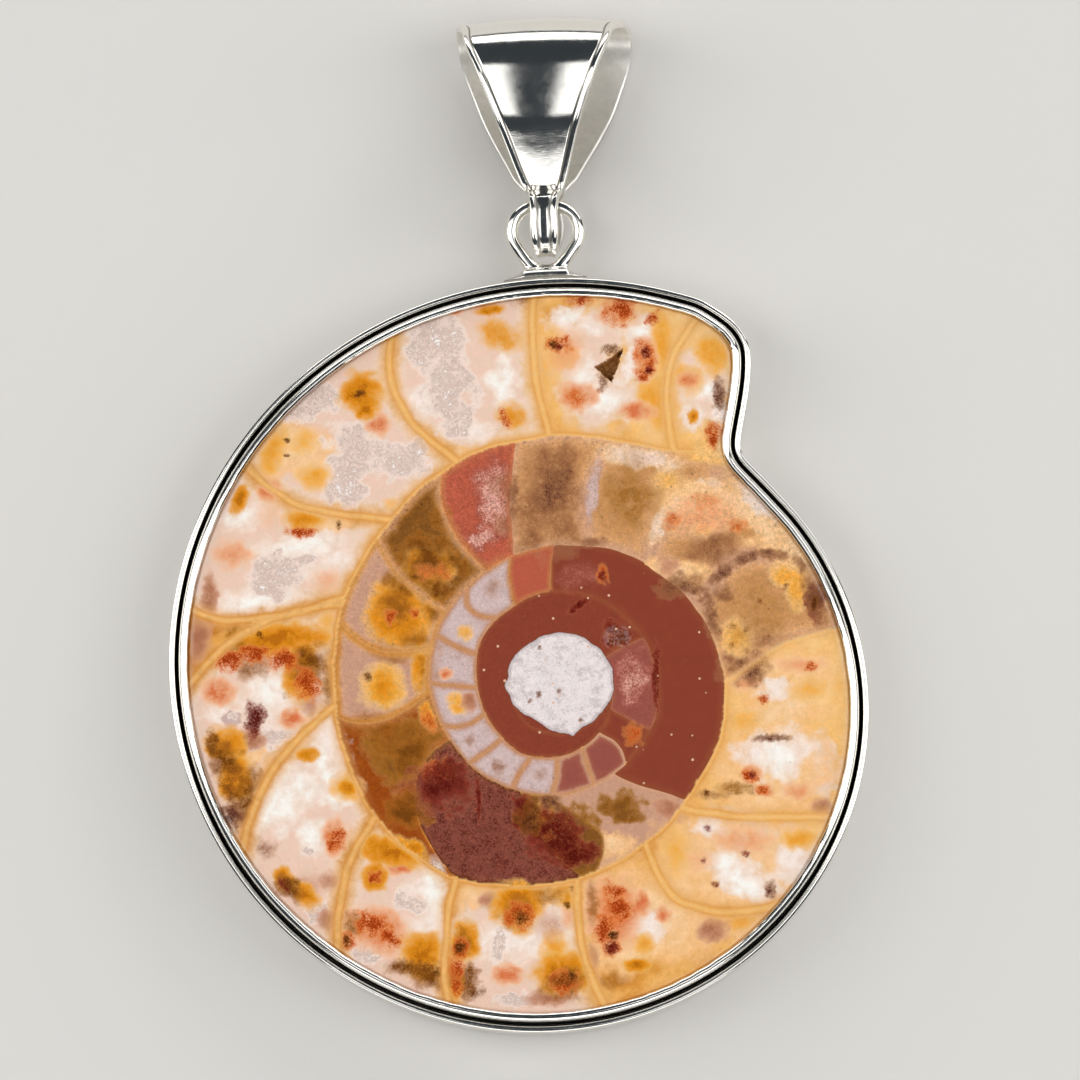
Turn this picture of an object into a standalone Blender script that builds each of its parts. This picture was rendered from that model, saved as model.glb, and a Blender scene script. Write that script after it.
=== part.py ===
"""A pendant: a polished slice of a coiled fossil shell in a silver setting, with a loop and a bail.

The pendant lies on its back. +X is to the right and +Y is towards the bail, as it is seen when worn, and +Z
comes out of its face. Lengths are in metres. Outlines are drawn about the middle of the shell's coil.
"""

import math

import bmesh
import bpy
from mathutils import Vector

# The shell's outer edge is an oval spiral that shrinks as it turns, from the mouth round to the mouth again.
COIL_MIDDLE = Vector((-0.0004, -0.0003))
COIL_START_RADIUS = 0.02563
COIL_START = math.radians(60)
COIL_SHRINK_PER_TURN = 0.36
COIL_OVAL = 0.0095
COIL_OVAL_TOWARDS = math.radians(152)
COIL_FROM = math.radians(70)
COIL_TO = math.radians(402)
COIL_POINTS = 40

# The step at the shell's mouth, from the inner end of the spiral, through the notch, up to the outer corner.
MOUTH_STEP = (
    (0.01218, 0.01268),
    (0.01113, 0.01378),
    (0.01104, 0.01440),
    (0.01112, 0.01500),
    (0.01146, 0.01686),
    (0.01166, 0.01830),
    (0.01170, 0.01968),
    (0.01152, 0.02064),
    (0.01074, 0.02178),
    (0.00930, 0.02280),
)

# The setting, from its outer edge inwards: a thin outer wall, a groove, and a bezel rubbed over the stone.
WALL_HEIGHT = 0.0043
WALL_THICK = 0.00036
GROOVE = 0.00024
BEZEL_THICK = 0.00032
BEZEL_TOP = 0.00474
LIP_REACH = 0.00026
LEDGE_THICK = 0.0006
LEDGE_REACH = 0.0020
EDGE_ROUND = 0.0001

# Spaces between pieces that rest on or against each other.
SIDE_GAP = 0.00015
REST_GAP = 0.0003

# The slice of shell, and the small hollow lined with crystals that its cut opened.
SLICE_TOP = 0.0043
SLICE_BEVEL = 0.0003
HOLLOW_PLACE = Vector((0.0032, 0.0191))
HOLLOW_DEPTH = 0.0016
HOLLOW_CORNERS = ((-0.0011, 0.0), (0.0001, 0.0006), (0.0009, 0.0012), (0.0008, 0.0002), (0.0002, -0.0012))

# The closed wire ring at the top, drawn from its lowest point up the right side, and the foot that joins it to
# the setting. Each point is a distance from the ring's middle and a height above the coil's middle.
LOOP_X = -0.00069
LOOP_Z = 0.0028
WIRE_RADIUS = 0.0004
LOOP_LOW_Y = 0.0250
LOOP_HALF = (
    (0.00050, 0.02508),
    (0.00090, 0.02532),
    (0.00122, 0.02570),
    (0.00153, 0.02615),
    (0.00182, 0.02660),
    (0.00198, 0.02700),
    (0.00203, 0.02740),
    (0.00197, 0.02780),
    (0.00182, 0.02820),
    (0.00150, 0.02856),
    (0.00110, 0.02882),
    (0.00060, 0.02897),
)
LOOP_HIGH_Y = 0.0290
FOOT_REACH = 0.0026
FOOT_HALF = ((0.0026, 0.00008), (0.0021, 0.00014), (0.0017, 0.00027), (0.00142, 0.00048), (0.0013, 0.00070))
FOOT_HALF_DEPTH = 0.0007

# The bail: one strip that comes up the front, folds over at the top, goes down the back and closes in an eye
# round the ring's top. Each station is a height above the eye's axis, a distance forwards or backwards, and the
# strip's width in front and behind.
AXIS_Y = 0.02892
BAIL_THICK = 0.0004
BAIL_TOP = (0.01080, 0.0, 0.0099)
BAIL_STATIONS = (
    (0.01056, 0.00135, 0.00910, 0.01045),
    (0.00980, 0.00232, 0.00870, 0.01055),
    (0.00840, 0.00284, 0.00745, 0.01010),
    (0.00680, 0.00284, 0.00625, 0.00900),
    (0.00530, 0.00258, 0.00515, 0.00785),
    (0.00390, 0.00194, 0.00425, 0.00645),
    (0.00250, 0.00120, 0.00340, 0.00485),
    (0.00155, 0.00066, 0.00275, 0.00375),
    (0.00094, 0.00032, 0.00220, 0.00260),
    (0.00044, 0.00082, 0.00180, 0.00190),
    (-0.00030, 0.00104, 0.00165, 0.00170),
    (-0.00120, 0.00104, 0.00170, 0.00190),
    (-0.00200, 0.00088, 0.00160, 0.00175),
    (-0.00260, 0.00048, 0.00140, 0.00140),
)
BAIL_EYE_END = (-0.00283, 0.0, 0.0012)
BAIL_CROWN = 0.035
RIM_WIDTH = 0.00032
RIM_HEIGHT = 0.00012
BAIL_LIFT = math.radians(5.0)
BAIL_SLANT = -0.11
BAIL_LEAN = math.radians(1.7)

# How finely the shapes are divided.
CURVE_STEPS = 2
FOOT_STEPS = 8
BAIL_COLUMNS = 10
WIRE_ROUNDNESS = 3
WELD = 1e-6

SILVER = ((0.86, 0.85, 0.82), 1.0, 0.16)
STONE = ((0.78, 0.50, 0.34), 0.0, 0.25)


def clear_scene():
    for thing in list(bpy.data.objects):
        bpy.data.objects.remove(thing, do_unlink=True)


def new_collection(name):
    collection = bpy.data.collections.new(name)
    bpy.context.scene.collection.children.link(collection)
    return collection


def new_material(name, finish):
    colour, metallic, roughness = finish
    material = bpy.data.materials.new(name)
    material.use_nodes = True
    shader = material.node_tree.nodes["Principled BSDF"]
    shader.inputs["Base Color"].default_value = (*colour, 1.0)
    shader.inputs["Metallic"].default_value = metallic
    shader.inputs["Roughness"].default_value = roughness
    return material


def coil_point(angle, outwards=0.0):
    """The point of the spiral at an angle, moved outwards from the coil's middle."""
    turns = (angle - COIL_START) / math.tau
    oval = 1 + COIL_OVAL * math.cos(2 * (angle - COIL_OVAL_TOWARDS))
    radius = COIL_START_RADIUS * math.exp(-COIL_SHRINK_PER_TURN * turns) * oval + outwards
    return COIL_MIDDLE + radius * Vector((math.cos(angle), math.sin(angle)))


def smooth_loop(points, steps):
    """A closed smooth curve through the points, with so many steps between one and the next."""
    count = len(points)
    curve = []
    for i in range(count):
        before, start, end, after = (points[(i + k) % count] for k in (-1, 0, 1, 2))
        for step in range(steps):
            t = step / steps
            curve.append(
                start
                + 0.5 * t * (end - before)
                + t * t * (before - 2.5 * start + 2 * end - 0.5 * after)
                + t * t * t * (1.5 * start - 0.5 * before - 1.5 * end + 0.5 * after)
            )
    return curve


def shell_outline():
    """The setting's outer edge, anticlockwise."""
    span = (COIL_TO - COIL_FROM) / (COIL_POINTS - 1)
    points = [coil_point(COIL_FROM + i * span) for i in range(COIL_POINTS)]
    points += [Vector(corner) for corner in MOUTH_STEP]
    return smooth_loop(points, CURVE_STEPS)


def inset(outline, distance):
    """The outline moved inwards, at right angles to itself."""
    count = len(outline)
    moved = []
    for i in range(count):
        along = (outline[(i + 1) % count] - outline[i - 1]).normalized()
        moved.append(outline[i] + distance * Vector((-along.y, along.x)))
    return moved


def poly_curve(name, points, closed=True, dimensions="2D"):
    curve = bpy.data.curves.new(name, "CURVE")
    curve.dimensions = dimensions
    spline = curve.splines.new("POLY")
    spline.points.add(len(points) - 1)
    for target, point in zip(spline.points, points):
        target.co = (*point, *(0.0,) * (3 - len(point)), 1.0)
    spline.use_cyclic_u = closed
    return curve


def add_object(name, data, collection, material=None, place=(0.0, 0.0, 0.0)):
    thing = bpy.data.objects.new(name, data)
    collection.objects.link(thing)
    thing.location = place
    if material:
        data.materials.append(material)
    return thing


def hide_helper(thing):
    thing.hide_render = True
    thing.display_type = "WIRE"


def as_mesh(thing, collection):
    """The object's curve made a mesh with welded caps, under the same name."""
    bpy.context.view_layer.update()
    graph = bpy.context.evaluated_depsgraph_get()
    name = thing.name
    mesh = bpy.data.meshes.new_from_object(thing.evaluated_get(graph))
    matrix = thing.matrix_world.copy()
    bpy.data.objects.remove(thing, do_unlink=True)
    welded = bmesh.new()
    welded.from_mesh(mesh)
    bmesh.ops.remove_doubles(welded, verts=welded.verts, dist=WELD)
    bmesh.ops.recalc_face_normals(welded, faces=welded.faces)
    welded.to_mesh(mesh)
    welded.free()
    made = bpy.data.objects.new(name, mesh)
    collection.objects.link(made)
    made.matrix_world = matrix
    return made


def shade_round(thing, sharp_over=math.radians(35)):
    thing.data.shade_smooth()
    thing.data.set_sharp_from_angle(angle=sharp_over)


def bevel_edges(thing, width, segments):
    bevel = thing.modifiers.new("Rounded edges", "BEVEL")
    bevel.width = width
    bevel.segments = segments
    bevel.limit_method = "ANGLE"
    bevel.angle_limit = math.radians(40)


def boolean(thing, other, operation):
    modifier = thing.modifiers.new(other.name, "BOOLEAN")
    modifier.operation = operation
    modifier.object = other
    modifier.solver = "EXACT"


def swept_ring(name, outline, profile, collection, helpers, material):
    """A closed ring: the profile, as distances inwards and heights, carried round the outline."""
    section = poly_curve(name + "_section", [Vector(corner) for corner in profile])
    guide = add_object(name + "_section", section, helpers)
    hide_helper(guide)
    path = poly_curve(name, outline)
    path.fill_mode = "NONE"
    path.bevel_mode = "OBJECT"
    path.bevel_object = guide
    ring = as_mesh(add_object(name, path, collection), collection)
    ring.data.materials.clear()
    ring.data.materials.append(material)
    shade_round(ring)
    return ring


def slab(name, outline, low, high, collection):
    """A flat plate with the outline, from one height to another."""
    curve = poly_curve(name, outline)
    curve.fill_mode = "BOTH"
    curve.extrude = (high - low) / 2
    plate = add_object(name, curve, collection, place=(0.0, 0.0, (high + low) / 2))
    return as_mesh(plate, collection)


def frame_profile():
    """The outer wall standing on the ledge that carries the stone."""
    crown = WALL_THICK / 2
    return (
        (EDGE_ROUND, 0.0),
        (LEDGE_REACH - EDGE_ROUND, 0.0),
        (LEDGE_REACH, EDGE_ROUND),
        (LEDGE_REACH, LEDGE_THICK - EDGE_ROUND),
        (LEDGE_REACH - EDGE_ROUND, LEDGE_THICK),
        (WALL_THICK, LEDGE_THICK),
        (WALL_THICK, WALL_HEIGHT - crown),
        (WALL_THICK * 0.85, WALL_HEIGHT - crown * 0.4),
        (crown, WALL_HEIGHT),
        (WALL_THICK * 0.15, WALL_HEIGHT - crown * 0.4),
        (0.0, WALL_HEIGHT - crown),
        (0.0, EDGE_ROUND),
    )


def bezel_profile():
    """A thin upright strip whose top is rubbed inwards to a rounded lip."""
    outer = WALL_THICK + GROOVE
    inner = outer + BEZEL_THICK
    tip = inner + LIP_REACH
    foot = LEDGE_THICK + REST_GAP
    return (
        (outer, foot),
        (inner, foot),
        (inner, BEZEL_TOP - 0.00080),
        (inner + 0.00008, BEZEL_TOP - 0.00050),
        (tip - 0.00006, BEZEL_TOP - 0.00034),
        (tip, BEZEL_TOP - 0.00021),
        (tip - 0.00005, BEZEL_TOP - 0.00008),
        (inner + 0.00006, BEZEL_TOP),
        (outer + 0.00019, BEZEL_TOP - 0.00011),
        (outer + 0.00005, BEZEL_TOP - 0.00042),
        (outer, BEZEL_TOP - 0.00085),
    )


def make_slice(outline, collection, helpers):
    edge = WALL_THICK + GROOVE + BEZEL_THICK + SIDE_GAP
    low = LEDGE_THICK + REST_GAP
    stone = slab("ammonite_slice", inset(outline, edge), low, SLICE_TOP, collection)
    stone.data.materials.clear()
    stone.data.materials.append(new_material("agate filled shell", STONE))
    bevel_edges(stone, SLICE_BEVEL, 2)
    corners = [HOLLOW_PLACE + Vector(corner) for corner in HOLLOW_CORNERS]
    cutter = slab("hollow_cutter", corners, SLICE_TOP - HOLLOW_DEPTH, SLICE_TOP + HOLLOW_DEPTH, helpers)
    hide_helper(cutter)
    boolean(stone, cutter, "DIFFERENCE")
    shade_round(stone)
    return stone


def loop_route():
    """The middle of the ring's wire, anticlockwise from its lowest point."""
    right = [Vector((LOOP_X + x, y, LOOP_Z)) for x, y in LOOP_HALF]
    left = [Vector((LOOP_X - x, y, LOOP_Z)) for x, y in LOOP_HALF]
    low = Vector((LOOP_X, LOOP_LOW_Y, LOOP_Z))
    high = Vector((LOOP_X, LOOP_HIGH_Y, LOOP_Z))
    return smooth_loop([low, *right, high, *left[::-1]], CURVE_STEPS)


def above_setting(x, height):
    """A point above the setting's outer edge, beside the ring's middle by x."""
    angle = math.pi / 2 - math.atan2(LOOP_X + x - COIL_MIDDLE.x, LOOP_LOW_Y - COIL_MIDDLE.y)
    return coil_point(angle, SIDE_GAP + height)


def foot_outline():
    """The flared foot: its lower edge follows the setting, and its upper edge narrows to the two wires."""
    lower = [above_setting(FOOT_REACH * (2 * i / FOOT_STEPS - 1), 0.0) for i in range(FOOT_STEPS + 1)]
    right = [above_setting(x, height) for x, height in FOOT_HALF]
    left = [above_setting(-x, height) for x, height in FOOT_HALF]
    return lower + right + left[::-1]


def make_loop(collection, helpers, material):
    wire = poly_curve("hanging_loop", loop_route(), dimensions="3D")
    wire.bevel_depth = WIRE_RADIUS
    wire.bevel_resolution = WIRE_ROUNDNESS
    loop = as_mesh(add_object("hanging_loop", wire, collection), collection)
    loop.data.materials.clear()
    loop.data.materials.append(material)
    low = LOOP_Z - FOOT_HALF_DEPTH
    foot = slab("loop_foot", foot_outline(), low, LOOP_Z + FOOT_HALF_DEPTH, helpers)
    bevel_edges(foot, EDGE_ROUND / 2, 1)
    hide_helper(foot)
    boolean(loop, foot, "UNION")
    shade_round(loop)
    return loop


def bail_stations():
    """The strip's stations in order, down the front from the top, round the eye and up the back."""
    front = [(height, depth, width) for height, depth, width, _ in BAIL_STATIONS]
    back = [(height, -depth, width) for height, depth, _, width in BAIL_STATIONS]
    return [Vector(station) for station in (BAIL_TOP, *front, BAIL_EYE_END, *back[::-1])]


def strip_height(across, width):
    """How far the strip stands out of its flat section: a low crown between two raised rims."""
    to_edge = (1 - abs(across)) * width / 2
    crown = BAIL_CROWN * width * (1 - across * across)
    rim = RIM_HEIGHT * min(1.0, max(0.0, 2 - to_edge / (RIM_WIDTH / 2)))
    return crown + rim


def strip_across(column, width):
    """Where a column lies across the strip, from -1 to 1: the outer three on each side make the rim."""
    rim = 2 * RIM_WIDTH / width
    edges = (0.0, rim / 2, rim)
    side = min(column, BAIL_COLUMNS - column)
    if side < len(edges):
        from_edge = edges[side]
    else:
        inner = BAIL_COLUMNS - 2 * (len(edges) - 1)
        from_edge = rim + (2 - 2 * rim) * (side - len(edges) + 1) / inner
    return from_edge - 1 if column <= BAIL_COLUMNS / 2 else 1 - from_edge


def make_bail(collection, material):
    stations = smooth_loop(bail_stations(), CURVE_STEPS)
    rows = len(stations)
    strip = bmesh.new()
    bmesh.ops.create_grid(strip, x_segments=BAIL_COLUMNS, y_segments=rows, size=1.0)
    for vertex in strip.verts:
        row = round((vertex.co.y + 1) / 2 * rows) % rows
        column = round((vertex.co.x + 1) / 2 * BAIL_COLUMNS)
        before, here, after = stations[row - 1], stations[row], stations[(row + 1) % rows]
        along = (after.xy - before.xy).normalized()
        across = strip_across(column, here.z)
        place = here.xy + strip_height(across, here.z) * Vector((along.y, -along.x))
        vertex.co = (across * here.z / 2 + BAIL_SLANT * place.y, place.x, place.y)
    bmesh.ops.remove_doubles(strip, verts=strip.verts, dist=WELD)
    bmesh.ops.recalc_face_normals(strip, faces=strip.faces)
    mesh = bpy.data.meshes.new("bail")
    strip.to_mesh(mesh)
    strip.free()
    bail = add_object("bail", mesh, collection, material, (LOOP_X, AXIS_Y, LOOP_Z))
    bail.rotation_euler = (BAIL_LIFT, 0.0, BAIL_LEAN)
    shell = bail.modifiers.new("Strip thickness", "SOLIDIFY")
    shell.thickness = BAIL_THICK
    shell.offset = 0.0
    shell.use_even_offset = True
    shade_round(bail)
    return bail


def stand_on_origin(parts, holder):
    """Moves the holder so that the middle of the underside of the parts' box is the origin."""
    bpy.context.view_layer.update()
    graph = bpy.context.evaluated_depsgraph_get()
    points = []
    for thing in parts.objects:
        evaluated = thing.evaluated_get(graph)
        mesh = evaluated.to_mesh()
        points += [evaluated.matrix_world @ vertex.co for vertex in mesh.vertices]
        evaluated.to_mesh_clear()
    for i, share in enumerate((0.5, 0.5, 0.0)):
        low = min(point[i] for point in points)
        high = max(point[i] for point in points)
        holder.location[i] = -(low + share * (high - low))


def main():
    clear_scene()
    parts = new_collection("ammonite_pendant")
    helpers = new_collection("cutters_and_guides")
    holder = add_object("coil_middle", None, helpers)
    silver = new_material("polished silver", SILVER)
    outline = shell_outline()
    swept_ring("outer_frame", outline, frame_profile(), parts, helpers, silver)
    swept_ring("bezel_strip", outline, bezel_profile(), parts, helpers, silver)
    make_slice(outline, parts, helpers)
    make_loop(parts, helpers, silver)
    make_bail(parts, silver)
    for thing in (*parts.objects, *helpers.objects):
        if thing is not holder:
            thing.parent = holder
    stand_on_origin(parts, holder)


main()
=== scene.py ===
"""The looks of a pendant: a polished slice of coiled fossil shell, filled with agate, in a silver setting.

The pendant lies on its back on a pale floor. +X is to its right, +Y towards its bail, and +Z comes out of
its face. Pieces are drawn in millimetres about the middle of the shell's coil, then moved to their place.
"""

import math
from functools import partial

import bpy
import numpy as np
from bpy.props import FloatProperty, FloatVectorProperty, PointerProperty
from mathutils import Matrix, Vector
from mathutils.geometry import delaunay_2d_cdt


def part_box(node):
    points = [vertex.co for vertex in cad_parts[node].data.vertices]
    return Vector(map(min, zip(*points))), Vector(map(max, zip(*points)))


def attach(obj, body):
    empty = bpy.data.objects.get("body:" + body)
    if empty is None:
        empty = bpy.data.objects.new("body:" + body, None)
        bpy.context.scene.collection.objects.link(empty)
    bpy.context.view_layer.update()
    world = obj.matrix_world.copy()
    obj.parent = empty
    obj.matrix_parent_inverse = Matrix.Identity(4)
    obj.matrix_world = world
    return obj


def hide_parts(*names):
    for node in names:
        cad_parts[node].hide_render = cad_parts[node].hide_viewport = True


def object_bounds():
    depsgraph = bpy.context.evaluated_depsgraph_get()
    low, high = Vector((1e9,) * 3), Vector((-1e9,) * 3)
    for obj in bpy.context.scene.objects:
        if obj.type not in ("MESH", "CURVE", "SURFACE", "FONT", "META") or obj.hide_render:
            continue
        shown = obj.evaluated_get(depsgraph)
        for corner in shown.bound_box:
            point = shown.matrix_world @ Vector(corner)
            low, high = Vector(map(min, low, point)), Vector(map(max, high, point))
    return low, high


bl_info = {
    "name": "Fossil slice pendant",
    "version": (1, 0, 0),
    "blender": (4, 5, 0),
    "location": "View3D > Sidebar > Pendant",
    "description": "Makes a polished fossil slice in a silver setting with a loop and a bail",
    "category": "Add Mesh",
}

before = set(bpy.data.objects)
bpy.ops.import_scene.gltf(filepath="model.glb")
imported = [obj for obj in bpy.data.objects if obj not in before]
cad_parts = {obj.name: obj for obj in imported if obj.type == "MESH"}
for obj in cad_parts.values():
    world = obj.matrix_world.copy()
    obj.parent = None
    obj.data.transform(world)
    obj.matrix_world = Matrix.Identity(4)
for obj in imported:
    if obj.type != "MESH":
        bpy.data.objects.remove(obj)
CAD_LOW, CAD_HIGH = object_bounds()
MM = 0.001

# The setting's outer edge: an oval spiral from the shell's mouth round to the mouth again, then the
# mouth's step.
COIL_MIDDLE = np.array((-0.4, -0.3))
COIL_START_RADIUS = 25.63
COIL_START = math.radians(60)
COIL_SHRINK_PER_TURN = 0.36
COIL_OVAL = 0.0095
COIL_OVAL_TOWARDS = math.radians(152)
COIL_FROM = math.radians(70)
COIL_TO = math.radians(402)
COIL_POINTS = 40
MOUTH_STEP = (
    (12.18, 12.68), (11.13, 13.78), (11.04, 14.40), (11.12, 15.00), (11.46, 16.86), (11.66, 18.30),
    (11.70, 19.68), (11.52, 20.64), (10.74, 21.78), (9.30, 22.80),
)
# Steps between its measured points, even points all round it, and passes of polish over its corners.
OUTLINE_STEPS = 16
OUTLINE_POINTS = 900
CORNER_POLISH = 14
# What polishing takes off the silver, so that no finished piece reaches past the box of its solid.
POLISHED_OFF = 0.015
# The gap between one piece and the next, and the angle from which an edge looks sharp.
SIDE_GAP = 0.15
SHARP_ANGLE = math.radians(38)

# The stone's hollow, with a ragged edge and walls that slope in to a crust of crystals.
HOLLOW_PLACE = np.array((3.2, 19.1))
HOLLOW_CORNERS = ((-1.0, -0.05), (0.05, 0.5), (0.8, 1.1), (0.55, 0.15), (0.1, -1.05))
HOLLOW_DEPTH = 1.25
HOLLOW_WALL = 0.14
HOLLOW_RAGGED = 0.025
HOLLOW_EDGE_STEPS = 14
CRYSTAL_SIZE = 0.34
CRYSTAL_HEIGHT = 0.55
# The shallow pits: place, radius and depth, and the crystals in them.
PITS = ((3.6, 2.7, 0.75, 0.10), (2.6, 17.65, 0.20, 0.35), (-13.4, 12.2, 0.35, 0.05), (-5.9, 18.6, 0.3, 0.04))
PIT_SIDES = 40
PIT_CRYSTAL_SIZE = 0.2
PIT_CRYSTAL_SHARE = 0.8
# How far the face's even mesh points keep from the edge of a hollow.
EDGE_CLEARANCE = 0.07
# Steps round the slice's ground edges, and down its side.
EDGE_STEPS = 6
SIDE_STEPS = 5

# The wire ring and its foot, as distances from the ring's middle and heights above the coil's middle.
LOOP_X = -0.69
LOOP_Z = 2.8
LOOP_LOW_Y = 25.0
LOOP_HALF = (
    (0.50, 25.08), (0.90, 25.32), (1.22, 25.70), (1.53, 26.15), (1.82, 26.60), (1.98, 27.00), (2.03, 27.40),
    (1.97, 27.80), (1.82, 28.20), (1.50, 28.56), (1.10, 28.82), (0.60, 28.97),
)
LOOP_HIGH_Y = 29.0
FOOT_REACH = 2.6
FOOT_HALF = ((2.6, 0.08), (2.1, 0.14), (1.7, 0.27), (1.42, 0.48), (1.3, 0.70))
FOOT_HALF_DEPTH = 0.7
# How finely the ring and its foot are drawn, melted together and polished.
WIRE_SIDES = 28
FOOT_STEPS = 41
FOOT_SIDES = 15
SOLDER_GRAIN = 0.045
POLISH_PASSES = 16

# The bail's strip, down the front and up the back: height above the eye's axis, depth, and both widths.
AXIS_Y = 28.92
BAIL_TOP = (10.80, 0.0, 9.9)
BAIL_STATIONS = (
    (10.56, 1.35, 9.10, 10.45), (9.80, 2.32, 8.70, 10.55), (8.40, 2.84, 7.45, 10.10),
    (6.80, 2.84, 6.25, 9.00), (5.30, 2.58, 5.15, 7.85), (3.90, 1.94, 4.25, 6.45), (2.50, 1.20, 3.40, 4.85),
    (1.55, 0.66, 2.75, 3.75), (0.94, 0.32, 2.20, 2.60), (0.44, 0.82, 1.80, 1.90), (-0.30, 1.04, 1.65, 1.70),
    (-1.20, 1.04, 1.70, 1.90), (-2.00, 0.88, 1.60, 1.75), (-2.60, 0.48, 1.40, 1.40),
)
BAIL_EYE_END = (-2.83, 0.0, 1.2)
BAIL_CROWN = 0.035
BAIL_LIFT = math.radians(5.0)
BAIL_SLANT = -0.11
BAIL_LEAN = math.radians(1.7)
BAIL_STEPS = 10
BAIL_COLUMNS = 15
# The band beside each rim is this wide, and narrows only where half the strip is under the second width.
RIM_BAND = 1.0
NARROW = 1.3
# The dark line beside each rim: its depth and half its width. Then how far the strip's edges are worn down.
LINE_DEPTH = 0.05
LINE_HALF = 0.05
EDGE_WEAR = 0.14

# The coil's outer wall: degrees turned inwards from the mouth, and the distance from the coil's middle.
MOUTH_ANGLE = 60
COIL_WALL = (
    (60, 24.0), (75, 24.2), (90, 24.0), (120, 23.8), (150, 23.5), (180, 23.2), (210, 22.3), (240, 21.6),
    (270, 20.9), (300, 20.5), (330, 19.3), (360, 18.4), (385, 17.9), (402, 17.5), (412, 17.2), (422, 15.7),
    (450, 14.8), (471, 14.6), (492, 14.0), (516, 13.6), (539, 13.3), (558, 13.3), (578, 13.4), (598, 13.2),
    (620, 12.3), (643, 11.5), (665, 10.7), (681, 10.36), (697, 10.3), (717, 10.05), (751, 9.4), (777, 8.8),
    (810, 8.3), (900, 7.6), (990, 6.8), (1080, 6.0), (1115, 5.7), (1170, 5.5), (1200, 5.35), (1230, 5.1),
    (1260, 4.7), (1289, 4.7), (1350, 4.4), (1440, 3.2), (1800, 3.2),
)

# The walls between the chambers, in the same degrees, at the whorl's inner edge, middle and outer edge,
# each with what fills the chamber after it: the filling's mineral, the rim's mineral, the rim's width,
# its softness, and how grainy the filling is.
FIRST_CHAMBER = ("honey", "honey", 0.3, 0.3, 0.1)
CHAMBERS = (
    ((63, 70, 68), "honey", "honey", 0.5, 0.5, 0.1), ((92, 94, 93), "pink", "honey", 0.6, 0.6, 0.1),
    ((114, 119.5, 114), "pink", "honey", 0.5, 0.6, 0.1), ((135, 145, 144), "pink", "honey", 0.7, 0.7, 0.1),
    ((158, 168, 168), "honey", "honey", 0.3, 0.3, 0.1), ((160, 169.5, 184), "pink", "honey", 0.6, 0.6, 0.1),
    ((186, 198, 211), "pink", "honey", 0.6, 0.6, 0.1), ((216, 223.5, 234), "pink", "honey", 0.6, 0.6, 0.1),
    ((243, 247, 253), "pink", "honey", 0.9, 0.8, 0.1),
    ((276, 275.5, 280), "honey", "honey", 0.5, 0.5, 0.15),
    ((299, 301, 322), "honey", "honey", 0.3, 0.5, 0.1), ((314, 327, 335), "honey", "honey", 0.4, 0.6, 0.15),
    ((360, 370, 370), "tan", "veil", 0.6, 0.6, 0.6), ((384, 393.5, 372), "tan", "veil", 0.9, 0.7, 0.6),
    ((413, 417.5, 407), "tan", "veil", 0.6, 0.6, 0.6), ((438, 442, 436), "tan", "veil", 0.4, 0.5, 0.7),
    ((469, 464.5, 460), "brick", "brick", 0.2, 0.2, 0.8),
    ((482, 484.5, 479), "olive", "veil", 0.35, 0.4, 0.9),
    ((507, 506.5, 501), "veil", "honey", 0.3, 0.3, 0.5), ((524, 530, 524), "veil", "honey", 0.4, 0.3, 0.4),
    ((545, 552, 549), "amber", "amber", 0.2, 0.3, 0.6),
    ((569, 576, 603), "jasper", "jasper", 0.2, 0.2, 1.0),
    ((611, 624.5, 637), "olive", "olive", 0.2, 0.3, 0.9), ((627, 645, 642), "veil", "veil", 0.3, 0.4, 0.3),
    ((662, 671, 677), "brown", "brown", 0.1, 0.1, 0.05),
    ((814, 812.5, 811), "brick", "brick", 0.0, 0.12, 0.3),
    ((839, 835, 830), "lilac", "veil", 0.2, 0.25, 0.4), ((852, 859, 853), "lilac", "veil", 0.2, 0.25, 0.3),
    ((881, 880, 878), "lilac", "veil", 0.2, 0.25, 0.4),
    ((903, 902.5, 900), "lilac", "veil", 0.2, 0.25, 0.3),
    ((923, 925, 920), "lilac", "veil", 0.2, 0.25, 0.4), ((946, 945, 943), "lilac", "veil", 0.2, 0.25, 0.4),
    ((971, 968, 967), "lilac", "veil", 0.2, 0.25, 0.4), ((991, 990, 988), "mauve", "veil", 0.3, 0.4, 0.3),
    ((1011, 1010, 1010), "mauve", "veil", 0.2, 0.3, 0.2),
    ((1030, 1035, 1030), "brown", "brown", 0.1, 0.1, 0.1),
    ((1053, 1053, 1053), "mauve", "mauve", 0.1, 0.1, 0.5),
    ((1108, 1108, 1108), "brown", "brown", 0.1, 0.1, 0.3),
)

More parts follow.
